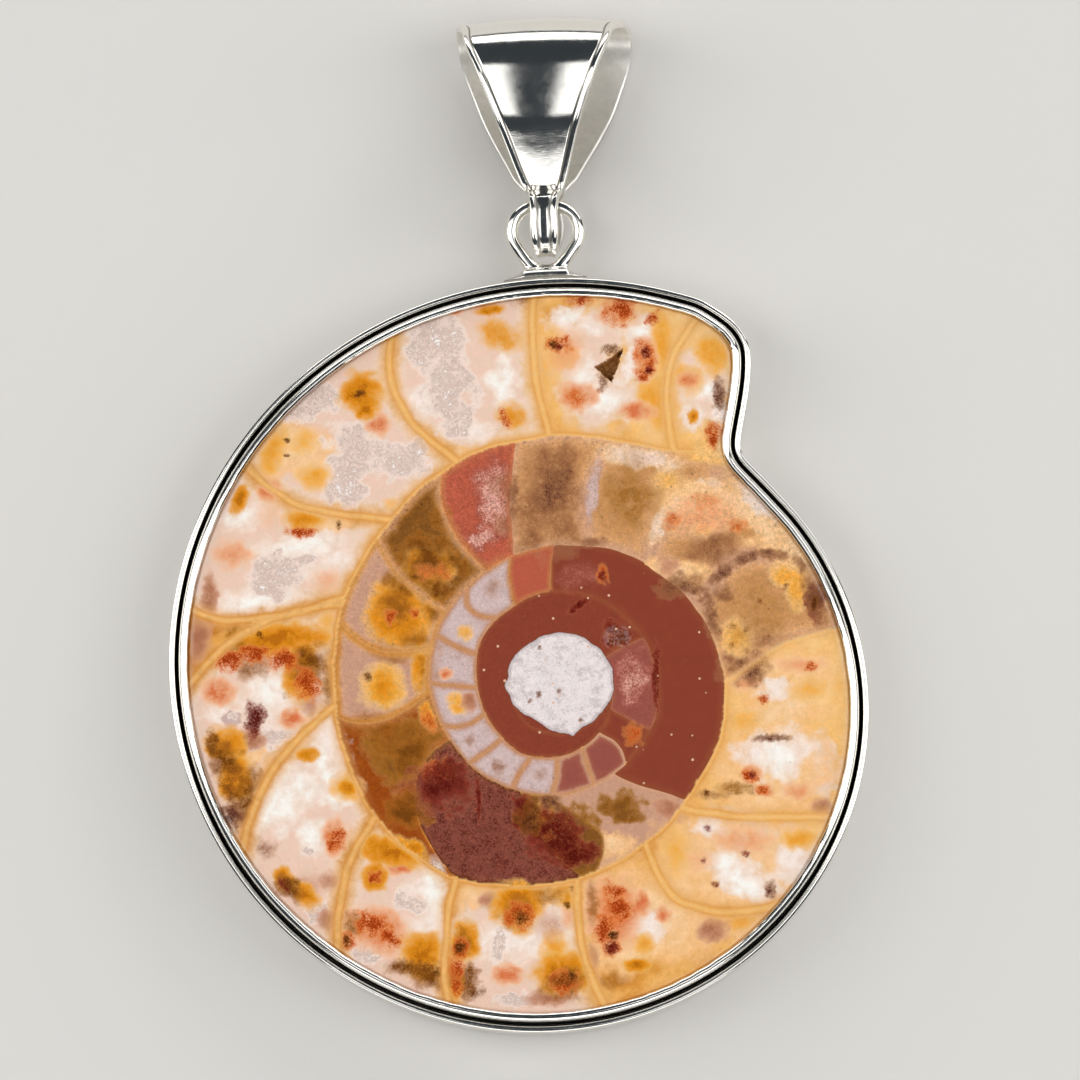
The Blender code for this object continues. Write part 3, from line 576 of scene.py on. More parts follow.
def new_material(name):
    """An empty node material, its tree, its shader, and the object's own coordinates in millimetres."""
    material = bpy.data.materials.new(name)
    material.use_nodes = True
    tree = material.node_tree
    shader = tree.nodes["Principled BSDF"]
    place = add_node(tree, "TexCoord")["Object"]
    place = add_node(tree, "VectorMath", place, (1 / MM, 1 / MM, 1 / MM), operation="MULTIPLY")[0]
    return material, tree, shader, place


def polished_silver(settings, name, worn=1.0, marks_turn=(0.3, 0.2, 0.6), marks_depth=0.35):
    """Sterling silver polished on a wheel: a clear mirror with faint scratches, dull in its grooves."""
    material, tree, shader, place = new_material(name)
    add = partial(add_node, tree)
    dull, satin = (add("Attribute", attribute_name=kept)["Fac"] for kept in ("tarnish", "satin"))
    # The polish is uneven in patches 0.7 mm across, and the sheet has shallow dents 1.4 mm across.
    patchy = add("TexNoise", {"Vector": place, "Scale": 1.4, "Detail": 5.0, "Roughness": 0.65})["Fac"]
    dents = add("TexNoise", {"Vector": place, "Scale": 0.7, "Detail": 2.0})["Fac"]
    # Wheel marks are a few micrometres wide, drawn here 0.03 mm wide and 0.7 mm long so that they show.
    marks = add("Mapping", {"Vector": place, "Rotation": marks_turn, "Scale": (1.5, 34.0, 9.0)})[0]
    scratch = add("TexNoise", {"Vector": marks, "Scale": 1.0, "Detail": 3.0, "Roughness": 0.6})["Fac"]
    dirt = add("Math", patchy, 0.5, dull, operation="MULTIPLY_ADD", use_clamp=True)[0]
    dirt = add("MapRange", {"Value": dirt, "From Min": 0.3, "From Max": 1.2})[0]
    tone = add("Mix", {0: dirt, 6: (*settings.tone, 1.0), 7: (*settings.tarnish, 1.0)}, data_type="RGBA")[2]
    # A clear mirror at its best, hazier where the wheel missed, and hazier still in tarnish and on satin
    # faces.
    spans = {"From Min": 0.3, "From Max": 0.75, "To Min": 0.07, "To Max": 0.07 + 0.12 * worn}
    rough = add("MapRange", {"Value": patchy} | spans)[0]
    for cover, roughened in ((dirt, 0.35), (satin, 0.3)):
        rough = add("Math", cover, roughened, rough, operation="MULTIPLY_ADD")[0]
    relief = add("Bump", {"Height": dents, "Strength": 0.5 * worn, "Distance": 0.02 * MM})[0]
    scratched = {"Height": scratch, "Strength": marks_depth, "Distance": 0.002 * MM}
    relief = add("Bump", {"Normal": relief} | scratched)[0]
    fill_inputs(tree, shader, {"Base Color": tone, "Roughness": rough, "Normal": relief, "Metallic": 1.0})
    return material


# The minerals from the lowest layer to the highest: how far the stone's grain and its fine speckle break
# their edges up, and their colours from the edge of a patch to its heart, each with where it shows and
# how much it covers.
MINERALS = (
    ("amber", 1.2, 0.1, ((0.25, "#C07A28", 0.0), (0.6, "#B25C1C", 1.0), (1.0, "#9A4810", 1.0))),
    ("veil", 1.0, 0.14, ((0.1, "#E2B080", 0.0), (0.55, "#D6A488", 0.9), (1.0, "#CC9A80", 1.0))),
    ("tan", 1.2, 0.24, ((0.05, "#ECB47C", 0.0), (0.5, "#DDA268", 0.85), (1.0, "#CA905A", 1.0))),
    (
        "pink", 1.4, 0.0,
        ((0.05, "#EFB878", 0.0), (0.4, "#F3CDA6", 0.8), (0.7, "#F4D4BC", 1.0), (1.0, "#F2CDB8", 1.0)),
    ),
    ("peach", 1.4, 0.1, ((0.05, "#F8C084", 0.0), (0.5, "#FBC488", 0.85), (1.0, "#FBCF9C", 1.0))),
    ("milk", 1.6, 0.0, ((0.1, "#F6D6BC", 0.0), (0.5, "#F9DFCC", 0.8), (1.0, "#FDEADE", 1.0))),
    ("snow", 1.4, 0.04, ((0.1, "#FAE8DA", 0.0), (0.6, "#FEF0E2", 0.65), (1.0, "#FFF9F0", 0.95))),
    ("lilac", 0.9, 0.2, ((0.2, "#C09484", 0.0), (0.5, "#CCAAA0", 0.9), (1.0, "#D4BAB6", 1.0))),
    (
        "quartz", 0.8, 0.9,
        (
            (0.15, "#FDEEE4", 0.0), (0.34, "#FBE8DC", 0.7), (0.46, "#ECD4C8", 1.0), (0.6, "#E4CABC", 1.0),
            (0.72, "#CEB0A2", 1.0), (0.84, "#EEDCD2", 1.0), (1.0, "#FFFAF6", 1.0),
        ),
    ),
    (
        "gold", 1.0, 0.1,
        ((0.05, "#F9CE98", 0.0), (0.4, "#F8C076", 0.7), (0.7, "#F6B254", 0.95), (1.0, "#F0A238", 1.0)),
    ),
    ("clay", 0.9, 0.2, ((0.1, "#E6B494", 0.0), (0.55, "#CC9070", 0.85), (1.0, "#B07252", 1.0))),
    ("mauve", 0.6, 0.2, ((0.3, "#A86458", 0.0), (0.55, "#A45C4C", 1.0), (1.0, "#9A5246", 1.0))),
    (
        "olive", 1.2, 0.4,
        ((0.1, "#C08E52", 0.0), (0.45, "#A06824", 0.85), (0.8, "#925A1C", 1.0), (1.0, "#80501E", 1.0)),
    ),
    ("brick", 0.6, 0.2, ((0.3, "#B85E48", 0.0), (0.52, "#C2644A", 1.0), (1.0, "#BC5C44", 1.0))),
    (
        "jasper", 0.7, 0.3,
        ((0.3, "#5A1C10", 0.0), (0.5, "#5C2014", 1.0), (0.8, "#6C2C20", 1.0), (1.0, "#844638", 1.0)),
    ),
    ("brown", 0.1, 0.02, ((0.44, "#B47860", 0.0), (0.52, "#8E412E", 1.0), (1.0, "#8E412E", 1.0))),
    ("rose", 1.2, 0.6, ((0.1, "#984A3C", 0.0), (0.5, "#B46A5A", 0.75), (1.0, "#DEA492", 1.0))),
    (
        "salmon", 1.2, 0.2,
        ((0.05, "#F8CBA0", 0.0), (0.45, "#F4B082", 0.75), (0.75, "#E99462", 0.9), (1.0, "#DE7648", 1.0)),
    ),
    (
        "ochre", 1.1, 0.2,
        (
            (0.05, "#F2BE78", 0.0), (0.26, "#F0B45E", 0.5), (0.45, "#EDA236", 0.9), (0.72, "#E48E1C", 1.0),
            (0.92, "#D28014", 1.0), (1.0, "#BE6C10", 1.0),
        ),
    ),
    ("bistre", 1.2, 0.35, ((0.05, "#C07C34", 0.0), (0.5, "#A0601C", 0.7), (1.0, "#74400C", 1.0))),
    (
        "rust", 1.4, 0.8,
        ((0.05, "#EC9A54", 0.0), (0.42, "#DE7A3A", 0.7), (0.75, "#C6541C", 0.95), (1.0, "#A03A0E", 1.0)),
    ),
    ("maroon", 1.0, 0.6, ((0.1, "#B06A4E", 0.0), (0.5, "#843020", 0.85), (1.0, "#560E04", 1.0))),
    ("smoke", 1.2, 0.5, ((0.05, "#C08A62", 0.0), (0.5, "#96603E", 0.75), (1.0, "#64382A", 1.0))),
    (
        "chalk", 0.6, 0.1,
        (
            (0.25, "#5A2C20", 0.0), (0.4, "#7A5046", 0.9), (0.54, "#CDBEBC", 1.0), (0.82, "#D2C4C2", 1.0),
            (0.92, "#E0D2D0", 1.0), (1.0, "#EEE2E0", 1.0),
        ),
    ),
    ("dark", 1.4, 0.7, ((0.1, "#A0601C", 0.0), (0.5, "#7A4414", 0.75), (1.0, "#4A2408", 1.0))),
)
# The shell's walls are drawn over this mineral and all that lie below it.
LINES_OVER = "rose"
# Minerals that lie in clouded masses, in lumps with round edges, and as facets of crystal, of which a patch
# covers its ground only so far.
CLOUDED = ("pink", "milk")
ROUNDED = ("gold", "clay", "salmon", "ochre")
FACETED = "quartz"
MOST_QUARTZ = 0.68
# How clearly the walls show, by the degrees turned inwards from the mouth.
LINE_STRENGTH = (
    (345, 1.0), (370, 0.6), (390, 0.15), (470, 0.15), (485, 0.9), (560, 0.9), (575, 0.1), (811, 0.1),
    (813, 0.9), (1010, 0.9), (1030, 0.2),
)
# A signed distance to a wall is exact at the wall, but passes 0 half-way between two walls too. There the
# unsigned one, less this leeway in millimetres, takes over.
GAP_LEEWAY = 0.08
# How far patches keep from a wall, how soft a chamber's rim is, and how far and in what size of waves the
# whole pattern wanders.
WALL_CLEARANCE = 0.34
RIM_SOFT = 0.15
WANDER = 0.09
WANDER_SIZE = 2.2
# A distance that nothing in the pattern reaches.
FAR = 1e3
# The white disc in the coil's middle, with its bumps and dips: at an angle, so many degrees wide, pointed
# (1) or round (2), and so high.
DISC_X = 0.17
DISC_RADIUS = 3.05
DISC_BUMPS = ((-75, 5, 1, 0.4), (184, 6, 2, 0.25), (-176, 6, 2, 0.25), (-126, 24, 2, -0.4))
# Honey calcite, the stone's ground, from its deepest to its palest clouds, and the walls from their
# middle outwards.
GROUND = ((0.0, "#C87A2A", 1.0), (0.35, "#E49C44", 1.0), (0.6, "#FABE6E", 1.0), (0.9, "#FFD08E", 1.0))
WALL = (
    (0.0, "#F6C47E", 0.9), (0.14, "#F2B668", 0.9), (0.24, "#E29C50", 0.75), (0.36, "#E8AA62", 0.6),
    (0.95, "#F0B874", 0.0),
)
INNER_WALL = "#B47240"
DARK_GRAIN = "#3A2018"
PALE_GRAIN = "#E8BCA0"
CAVITY = "#B98646"
# The stone's unevenness: lumps to the millimetre, then detail, roughness, distortion, and how far it
# spreads about 0. Quartz grains are 0.02 to 0.1 mm across, drawn 0.1 and 0.2 mm wide so that they show.
NOISES = {
    "cloud": (0.45, 4.0, 0.6, 0.4, 1.0),
    "grain": (1.4, 5.0, 0.58, 0.4, 0.32),
    "fine": (9.0, 3.0, 0.7, 0.0, 1.0),
    "facets": (2.0, 6.0, 0.8, 2.2, 1.0),
    "coarse": (5.0, 3.0, 0.75, 0.0, 1.0),
}
GRAINS_PER_MM = 2.4
# What the stone's mesh keeps for its material beside the minerals: distances to the walls in line widths,
# how stained those walls are, and how granular, how clearly lined, how pale from painted light, how flecked
# and how deep each place is.
KEPT = (
    "coil_side", "coil_gap", "septum_side", "septum_gap", "inner", "grain", "line", "pale", "pinheads",
    "pit",
)


def set_ramp(outputs, stops):
    """Gives the colour ramp with these outputs its stops: a position, a colour and how much it covers."""
    elements = outputs[0].node.color_ramp.elements
    while len(elements) < len(stops):
        elements.new(1.0)
    for element, (position, code, cover) in zip(elements, stops):
        element.position = position
        element.color = (*linear(code), cover)


def agate():
    """Agate and stained calcite, cut and polished: a glassy skin over soft, cloudy colours."""
    material, tree, shader, place = new_material("polished agate in shell")
    add = partial(add_node, tree)
    noise = {}
    for name, (scale, detail, roughness, distortion, spread) in NOISES.items():
        texture = {"Scale": scale, "Detail": detail, "Roughness": roughness, "Distortion": distortion}
        raw = add("TexNoise", {"Vector": place} | texture)["Fac"]
        spans = {"Value": raw, "From Min": 0.25, "From Max": 0.75, "To Min": -spread, "To Max": spread}
        noise[name] = add("MapRange", spans, clamp=False)[0]
    names = (*(mineral for mineral, *_ in MINERALS), *KEPT)
    kept = {name: add("Attribute", attribute_name=name)["Fac"] for name in names}

    # Honey calcite: a golden ground, paler and deeper in clouds a few millimetres across, and painted paler
    # towards the right as painted light.
    ground = add("ValToRGB", add("Math", noise["cloud"], 0.3, kept["pale"], operation="MULTIPLY_ADD")[0])
    set_ramp(ground, GROUND)
    tone = ground["Color"]
    for mineral, raggedness, speckled, stops in MINERALS:
        specks = noise["facets" if mineral == FACETED else "fine"]
        uneven = add("Math", noise["grain"], raggedness, 1.0, operation="MULTIPLY_ADD")[0]
        uneven = add("Math", specks, speckled, uneven, operation="MULTIPLY_ADD")[0]
        amount = add("Math", uneven, kept[mineral], operation="MULTIPLY")[0]
        if mineral in CLOUDED:
            amount = add("Math", noise["cloud"], 0.12, amount, operation="MULTIPLY_ADD")[0]
        layer = add("ValToRGB", amount)
        set_ramp(layer, stops)
        tone = add("Mix", {0: layer["Alpha"], 6: tone, 7: layer["Color"]}, data_type="RGBA")[2]
        if mineral == LINES_OVER:
            tone = wall_lines(add, tone, kept, noise)

    # Grains of quartz and iron stain speckle the stained chambers lighter and darker: the stone's own grain,
    # with painted sparkle in its lighter specks.
    speckle = add("Math", noise["coarse"], noise["fine"], operation="ADD")[0]
    sparkle = add("Math", kept["grain"], 0.36, operation="MULTIPLY")[0]
    speckle = add("Math", speckle, sparkle, operation="MULTIPLY")[0]
    speckle = add("Math", noise["grain"], 0.16, speckle, operation="MULTIPLY_ADD")[0]
    light = add("Math", speckle, 1.0, operation="ADD")[0]
    light = add("CombineColor", light, light, light)[0]
    tone = add("Mix", {0: 1.0, 6: tone, 7: light}, data_type="RGBA", blend_type="MULTIPLY")[2]
    # Single grains: dark ones in the stained chambers, pale ones in the brown one.
    cells = add("TexVoronoi", {"Vector": place, "Scale": GRAINS_PER_MM})
    chance = add("SeparateColor", cells["Color"])[0]
    size = add("Math", chance, 0.45, operation="SUBTRACT")[0]
    size = add("Math", size, 0.42, operation="MULTIPLY")[0]
    dots = add("Math", size, cells["Distance"], operation="SUBTRACT")[0]
    dots = add("MapRange", {"Value": dots, "From Min": 0.0, "From Max": 0.06})[0]
    many = add("Math", kept["grain"], 0.6, operation="MULTIPLY")[0]
    many = add("Math", dots, many, operation="MULTIPLY")[0]
    few = add("Math", chance, 0.9, operation="GREATER_THAN")[0]
    few = add("Math", dots, few, operation="MULTIPLY")[0]
    few = add("Math", few, kept["pinheads"], operation="MULTIPLY")[0]
    deep = add("MapRange", {"Value": kept["pit"], "From Min": 0.02, "From Max": 0.6})[0]
    stained = add("Math", deep, 0.92, operation="MULTIPLY")[0]
    for cover, code in ((many, DARK_GRAIN), (few, PALE_GRAIN), (stained, CAVITY)):
        tone = add("Mix", {0: cover, 6: tone, 7: (*linear(code), 1.0)}, data_type="RGBA")[2]
    # Glass-smooth agate, a little duller where it is grainy, and rough in its hollows.
    rough = add("Math", deep, 0.4, 0.07, operation="MULTIPLY_ADD")[0]
    rough = add("Math", kept["grain"], 0.06, rough, operation="MULTIPLY_ADD")[0]
    polish = add("Bump", {"Height": noise["grain"], "Strength": 0.12, "Distance": 0.02 * MM})[0]
    fill_inputs(tree, shader, {"Base Color": tone, "Roughness": rough, "Normal": polish, "IOR": 1.54})
    return material


def wall_lines(add, tone, kept, noise):
    """The shell's walls drawn over a tone, as pale lines between darker hairlines."""
    distances = []
    for kind in ("coil", "septum"):
        side = add("Math", kept[kind + "_side"], operation="ABSOLUTE")[0]
        distances.append(add("Math", side, kept[kind + "_gap"], operation="MAXIMUM")[0])
    nearest = add("Math", *distances, operation="MINIMUM")[0]
    for unevenness, share in (("fine", 0.08), ("grain", 0.5)):
        nearest = add("Math", noise[unevenness], share, nearest, operation="MULTIPLY_ADD")[0]
    line = add("ValToRGB", add("Math", nearest, 0.25, operation="MULTIPLY")[0])
    set_ramp(line, WALL)
    strength = add("Math", noise["grain"], 0.9, 0.85, operation="MULTIPLY_ADD")[0]
    strength = add("Math", kept["line"], strength, operation="MULTIPLY")[0]
    cover = add("Math", line["Alpha"], strength, operation="MULTIPLY")[0]
    stained = {0: kept["inner"], 6: line["Color"], 7: (*linear(INNER_WALL), 1.0)}
    stained = add("Mix", stained, data_type="RGBA")[2]
    return add("Mix", {0: cover, 6: tone, 7: stained}, data_type="RGBA")[2]


def clouds(x, y, size, seed, octaves=3):
    """Smooth random heights, mostly from -1 to 1, with lumps of the given size and finer ones on them."""
    total = np.zeros(len(x))
    for octave in range(octaves):
        lattice = np.random.default_rng(seed + 97 * octave).uniform(-1, 1, (64, 64))
        u, v = x / size * 2**octave + 11.3 * octave + 31, y / size * 2**octave + 7.9 * octave + 31
        i, j = np.floor(u).astype(int), np.floor(v).astype(int)
        s, t = u - i, v - j
        s, t = s * s * (3 - 2 * s), t * t * (3 - 2 * t)
        i0, i1, j0, j1 = i % 64, (i + 1) % 64, j % 64, (j + 1) % 64
        low = lattice[i0, j0] * (1 - s) + lattice[i1, j0] * s
        high = lattice[i0, j1] * (1 - s) + lattice[i1, j1] * s
        total += (low * (1 - t) + high * t) * 0.55**octave
    return total


def wall_radius(turned):
    """The distance of the coil's wall from its middle, after so many degrees inwards from the mouth."""
    at, radius = np.array(COIL_WALL).T
    slope = np.gradient(radius, at)
    i = np.clip(np.searchsorted(at, turned) - 1, 0, len(at) - 2)
    span = at[i + 1] - at[i]
    t = np.clip((turned - at[i]) / span, 0, 1)
    return (
        radius[i] * (1 + 2 * t) * (1 - t) ** 2
        + slope[i] * span * t * (1 - t) ** 2
        + radius[i + 1] * t * t * (3 - 2 * t)
        + slope[i + 1] * span * t * t * (t - 1)
    )


def shell_place(radius, angle):
    """Where points lie in the coil, from their distance and angle about its middle.

    Gives how far round it they are, how far out in their whorl, in which chamber, and how far from the
    nearest wall between chambers and from the nearest turn of the coil's wall.
    """
    turned = angle % 360
    turned = turned + 360 * (turned < MOUTH_ANGLE)
    for _ in range(4):
        turned = turned + 360 * ((radius < wall_radius(turned + 360)) & (turned < 1440))
    inner, outer = wall_radius(turned + 360), wall_radius(turned)
    share = (radius - inner) / np.maximum(outer - inner, 0.1)
    bend = np.clip(share, -0.2, 1.2)
    chamber = np.zeros(len(radius), int)
    to_septum = np.full(len(radius), FAR)
    for (low, middle, high), *_ in CHAMBERS:
        lean, curl = 4 * middle - 3 * low - high, 2 * low + 2 * high - 4 * middle
        wall = low + bend * lean + bend * bend * curl
        slant = np.radians(lean + 2 * bend * curl) * radius / np.maximum(outer - inner, 0.1)
        side = np.radians(turned - wall) * radius / np.sqrt(1 + slant * slant)
        chamber += side > 0
        to_septum = np.where(np.abs(side) < np.abs(to_septum), side, to_septum)
    to_coil = np.where(share < 0.5, radius - inner, radius - outer)
    return turned, share, chamber, to_septum, to_coil


def patch_cover(x, y, torn, seed, patch_x, patch_y, half_width, half_height, turn=0, strength=1):
    """Which points lie near a patch, a turned oval with a torn, fading edge, and how much it covers them."""
    reach = 1.8 * max(half_width, half_height)
    near = np.flatnonzero((np.abs(x - patch_x) < reach) & (np.abs(y - patch_y) < reach))
    dx, dy = x[near] - patch_x, y[near] - patch_y
    small = min(half_width, half_height)
    shift = [torn * small * clouds(dx, dy, 0.7 * small, seed + axis) for axis in (0, 1)]
    dx, dy = dx + shift[0], dy + shift[1]
    cos, sin = math.cos(math.radians(turn)), math.sin(math.radians(turn))
    away = np.hypot((dx * cos + dy * sin) / half_width, (dy * cos - dx * sin) / half_height)
    return near, np.clip(1 - 0.5 * away**1.7, 0, 1) * strength


def disc_cover(x, y):
    """How much of the white disc in the coil's middle covers each point."""
    x = x - DISC_X
    angle = np.degrees(np.arctan2(y, x))
    size = DISC_RADIUS + 0.1 * np.cos(np.radians(2 * angle)) + 0.06 * clouds(x, y, 0.8, 9)
    for middle, spread, power, rise in DISC_BUMPS:
        size += rise * np.exp(-((np.abs(angle - middle) / spread) ** power))
    return np.clip(0.5 + (size - np.hypot(x, y)) / (2 * RIM_SOFT), 0, 1)


def pattern(place, line_width):
    """How much of each mineral lies at each point, and how far the point is from the shell's walls."""
    x, y = place.T
    x, y = x + WANDER * clouds(x, y, WANDER_SIZE, 1), y + WANDER * clouds(x, y, WANDER_SIZE, 2)
    radius, angle = np.hypot(x, y), np.degrees(np.arctan2(y, x))
    turned, share, chamber, to_septum, to_coil = shell_place(radius, angle)
    # The coil's outermost edge is the slice's edge, and has no wall.
    at_edge = (share > 0.5) & (turned < MOUTH_ANGLE + 357)
    coil_gap = np.where(at_edge, FAR, np.abs(to_coil))
    rim = np.minimum(np.abs(to_septum), coil_gap)
    # The chamber across the nearest wall is where the point's mirror image in that wall lies.
    over_coil = coil_gap < np.abs(to_septum)
    mirrored_radius = np.where(over_coil, radius - 2 * to_coil, radius)
    mirrored_angle = np.where(over_coil, angle, angle - np.degrees(2 * to_septum / np.maximum(radius, 1)))
    neighbour = shell_place(np.maximum(mirrored_radius, 0.1), mirrored_angle)[2]

    amounts = {mineral: np.zeros(len(x)) for mineral, *_ in MINERALS}
    grain = np.zeros(len(x))
    fillings = (FIRST_CHAMBER, *(chamber[1:] for chamber in CHAMBERS))
    for i, (filling, rim_mineral, rim_width, soft, grains) in enumerate(fillings):
        signed = np.where(chamber == i, rim, np.where(neighbour == i, -rim, -FAR))
        grain = np.where(chamber == i, grains, grain)
        for mineral, inwards, fade in ((rim_mineral, signed, RIM_SOFT), (filling, signed - rim_width, soft)):
            if mineral in amounts:
                amounts[mineral] = np.maximum(amounts[mineral], np.clip(0.5 + inwards / (2 * fade), 0, 1))
    # Bare honey calcite where the coil's outer wall runs in under the mouth.
    bare = np.interp(turned, (392, 402, 418, 428), (0, 1, 1, 0)) * np.interp(share, (0.84, 0.95), (0, 1))
    for mineral in amounts:
        amounts[mineral] *= 1 - bare
    # Patches fade out towards a wall where the wall shows.
    drawn = np.interp(turned, *np.array(LINE_STRENGTH).T)
    off_wall = 1 - np.clip(1.3 - rim / WALL_CLEARANCE, 0, 1) * drawn
    seed = 100
    for mineral, patches in PATCHES.items():
        torn = 0.22 if mineral in ROUNDED else 0.45
        for patch in patches:
            seed += 2
            near, amount = patch_cover(x, y, torn, seed, *patch)
            amounts[mineral][near] = np.maximum(amounts[mineral][near], amount * off_wall[near])
    amounts[FACETED] = np.minimum(amounts[FACETED], MOST_QUARTZ) * (0.94 + 0.12 * clouds(x, y, 0.9, 21))
    amounts["chalk"] = disc_cover(x, y)
    # Further in, the walls are thinner and stained darker. The ground is painted palest at the right:
    # painted light, brighter on that side.
    width = line_width * np.interp(turned, (60, 420, 430, 780, 800, 1440), (1.0, 1.0, 0.6, 0.5, 0.35, 0.3))
    distances = {
        "coil_side": to_coil / width,
        "coil_gap": (np.abs(to_coil) - GAP_LEEWAY) / width,
        "septum_side": to_septum / width,
        "septum_gap": (np.abs(to_septum) - GAP_LEEWAY) / width,
        "inner": np.interp(turned, (470, 485, 560, 700, 830), (0.0, 0.6, 0.6, 0.4, 0.75)),
        "grain": grain,
        "line": drawn,
        # Painted light: the ground is painted paler towards the right.
        "pale": np.clip(0.45 + (x + 0.4 * y) / 50, 0, 1),
        "pinheads": np.clip(amounts["brown"] * 2 - 1, 0, 1),
    }
    return amounts | distances


def inside(outline, points):
    """Which of the points lie inside the outline."""
    x, y = points.T
    crossed = np.zeros(len(points), bool)
    for (ax, ay), (bx, by) in zip(outline, np.roll(outline, -1, 0)):
        if ay != by:
            crossed ^= ((ay > y) != (by > y)) & (x < ax + (y - ay) * (bx - ax) / (by - ay))
    return crossed


def point_grid(outline, spacing):
    """Points in even triangles, inside the outline and clear of it."""
    low, high = outline.min(0), outline.max(0)
    rows = np.arange(low[1], high[1], spacing * math.sqrt(0.75))
    columns = np.arange(low[0], high[0], spacing)
    x, y = np.meshgrid(columns, rows)
    x[1::2] += spacing / 2
    points = np.stack((x.ravel(), y.ravel()), -1)
    return points[inside(inset(outline, spacing * 0.6), points)]


def flat_faces(loops, points):
    """The points of the closed loops and the loose points, and the triangles between them."""
    placed = np.vstack((*loops, points))
    edges, start = [], 0
    for loop in loops:
        edges += [(start + i, start + (i + 1) % len(loop)) for i in range(len(loop))]
        start += len(loop)
    made, _, faces, *_ = delaunay_2d_cdt([Vector(point) for point in placed], edges, [], 0, 1e-7, False)
    if len(made) != len(placed):
        raise RuntimeError("the flat face has points on top of each other, or a loop that crosses itself")
    faces = np.array([face for face in faces if len(face) == 3])
    rim = (faces < len(loops[0])).all(1)
    kept = ~rim
    kept[rim] = inside(loops[0], placed[faces[rim]].mean(1))
    faces = faces[kept]
    a, b, c = (placed[faces[:, i]] for i in range(3))
    turned = (b - a)[:, 0] * (c - a)[:, 1] - (b - a)[:, 1] * (c - a)[:, 0] < 0
    faces[turned] = faces[turned][:, ::-1]
    return placed, faces


def hollow_rim():
    """The ragged edge of the hollow."""
    random = np.random.default_rng(3)
    corners = HOLLOW_PLACE + np.array(HOLLOW_CORNERS)
    share = np.linspace(0, 1, HOLLOW_EDGE_STEPS, endpoint=False)[:, None]
    rim = np.vstack([a + share * (b - a) for a, b in zip(corners, np.roll(corners, -1, 0))])[::-1]
    return rim + random.normal(0, HOLLOW_RAGGED, rim.shape)


def crystals(points, spacing, seed):
    """Heights from 0 to 1 of a crust of pointed crystals."""
    random = np.random.default_rng(seed)
    low, high = points.min(0), points.max(0)
    count = max(3, int(np.prod((high - low) / spacing)))
    tips = random.uniform(low, high, (count, 2))
    away = points[:, None] - tips[None]
    nearest = np.argmin((away**2).sum(2), 1)
    away = away[np.arange(len(points)), nearest]
    turn = random.uniform(0, math.tau, count)[nearest]
    height = random.uniform(0.45, 1.0, count)[nearest]
    steep = np.max([away[:, 0] * np.cos(turn + k) + away[:, 1] * np.sin(turn + k) for k in (0, 2.1, 4.2)], 0)
    return np.clip(height - steep / spacing, 0, 1)


def sunk_depth(front, rim, first_inner):
    """How deep each point of the face lies in the hollow and the pits. The edges' own points stay level."""
    depth = np.zeros(len(front))
    in_hollow = np.flatnonzero(inside(rim, front))
    in_hollow = in_hollow[in_hollow >= first_inner]
    to_rim = np.min(np.linalg.norm(front[in_hollow, None] - rim[None], axis=2), 1)
    steep = np.clip(to_rim / HOLLOW_WALL, 0, 1)
    depth[in_hollow] = steep * (HOLLOW_DEPTH - CRYSTAL_HEIGHT * crystals(front[in_hollow], CRYSTAL_SIZE, 5))
    # A pit is a bowl that reaches its full depth a third of the way in.
    for i, (x, y, radius, deep) in enumerate(PITS):
        reach = np.hypot(front[:, 0] - x, front[:, 1] - y) / radius
        here = np.flatnonzero(reach < 1)
        bowl = np.clip((1 - reach[here]) * 3, 0, 1)
        rough = PIT_CRYSTAL_SHARE * crystals(front[here], PIT_CRYSTAL_SIZE, 11 + i)
        depth[here] = deep * bowl * (1 - rough)
    return depth


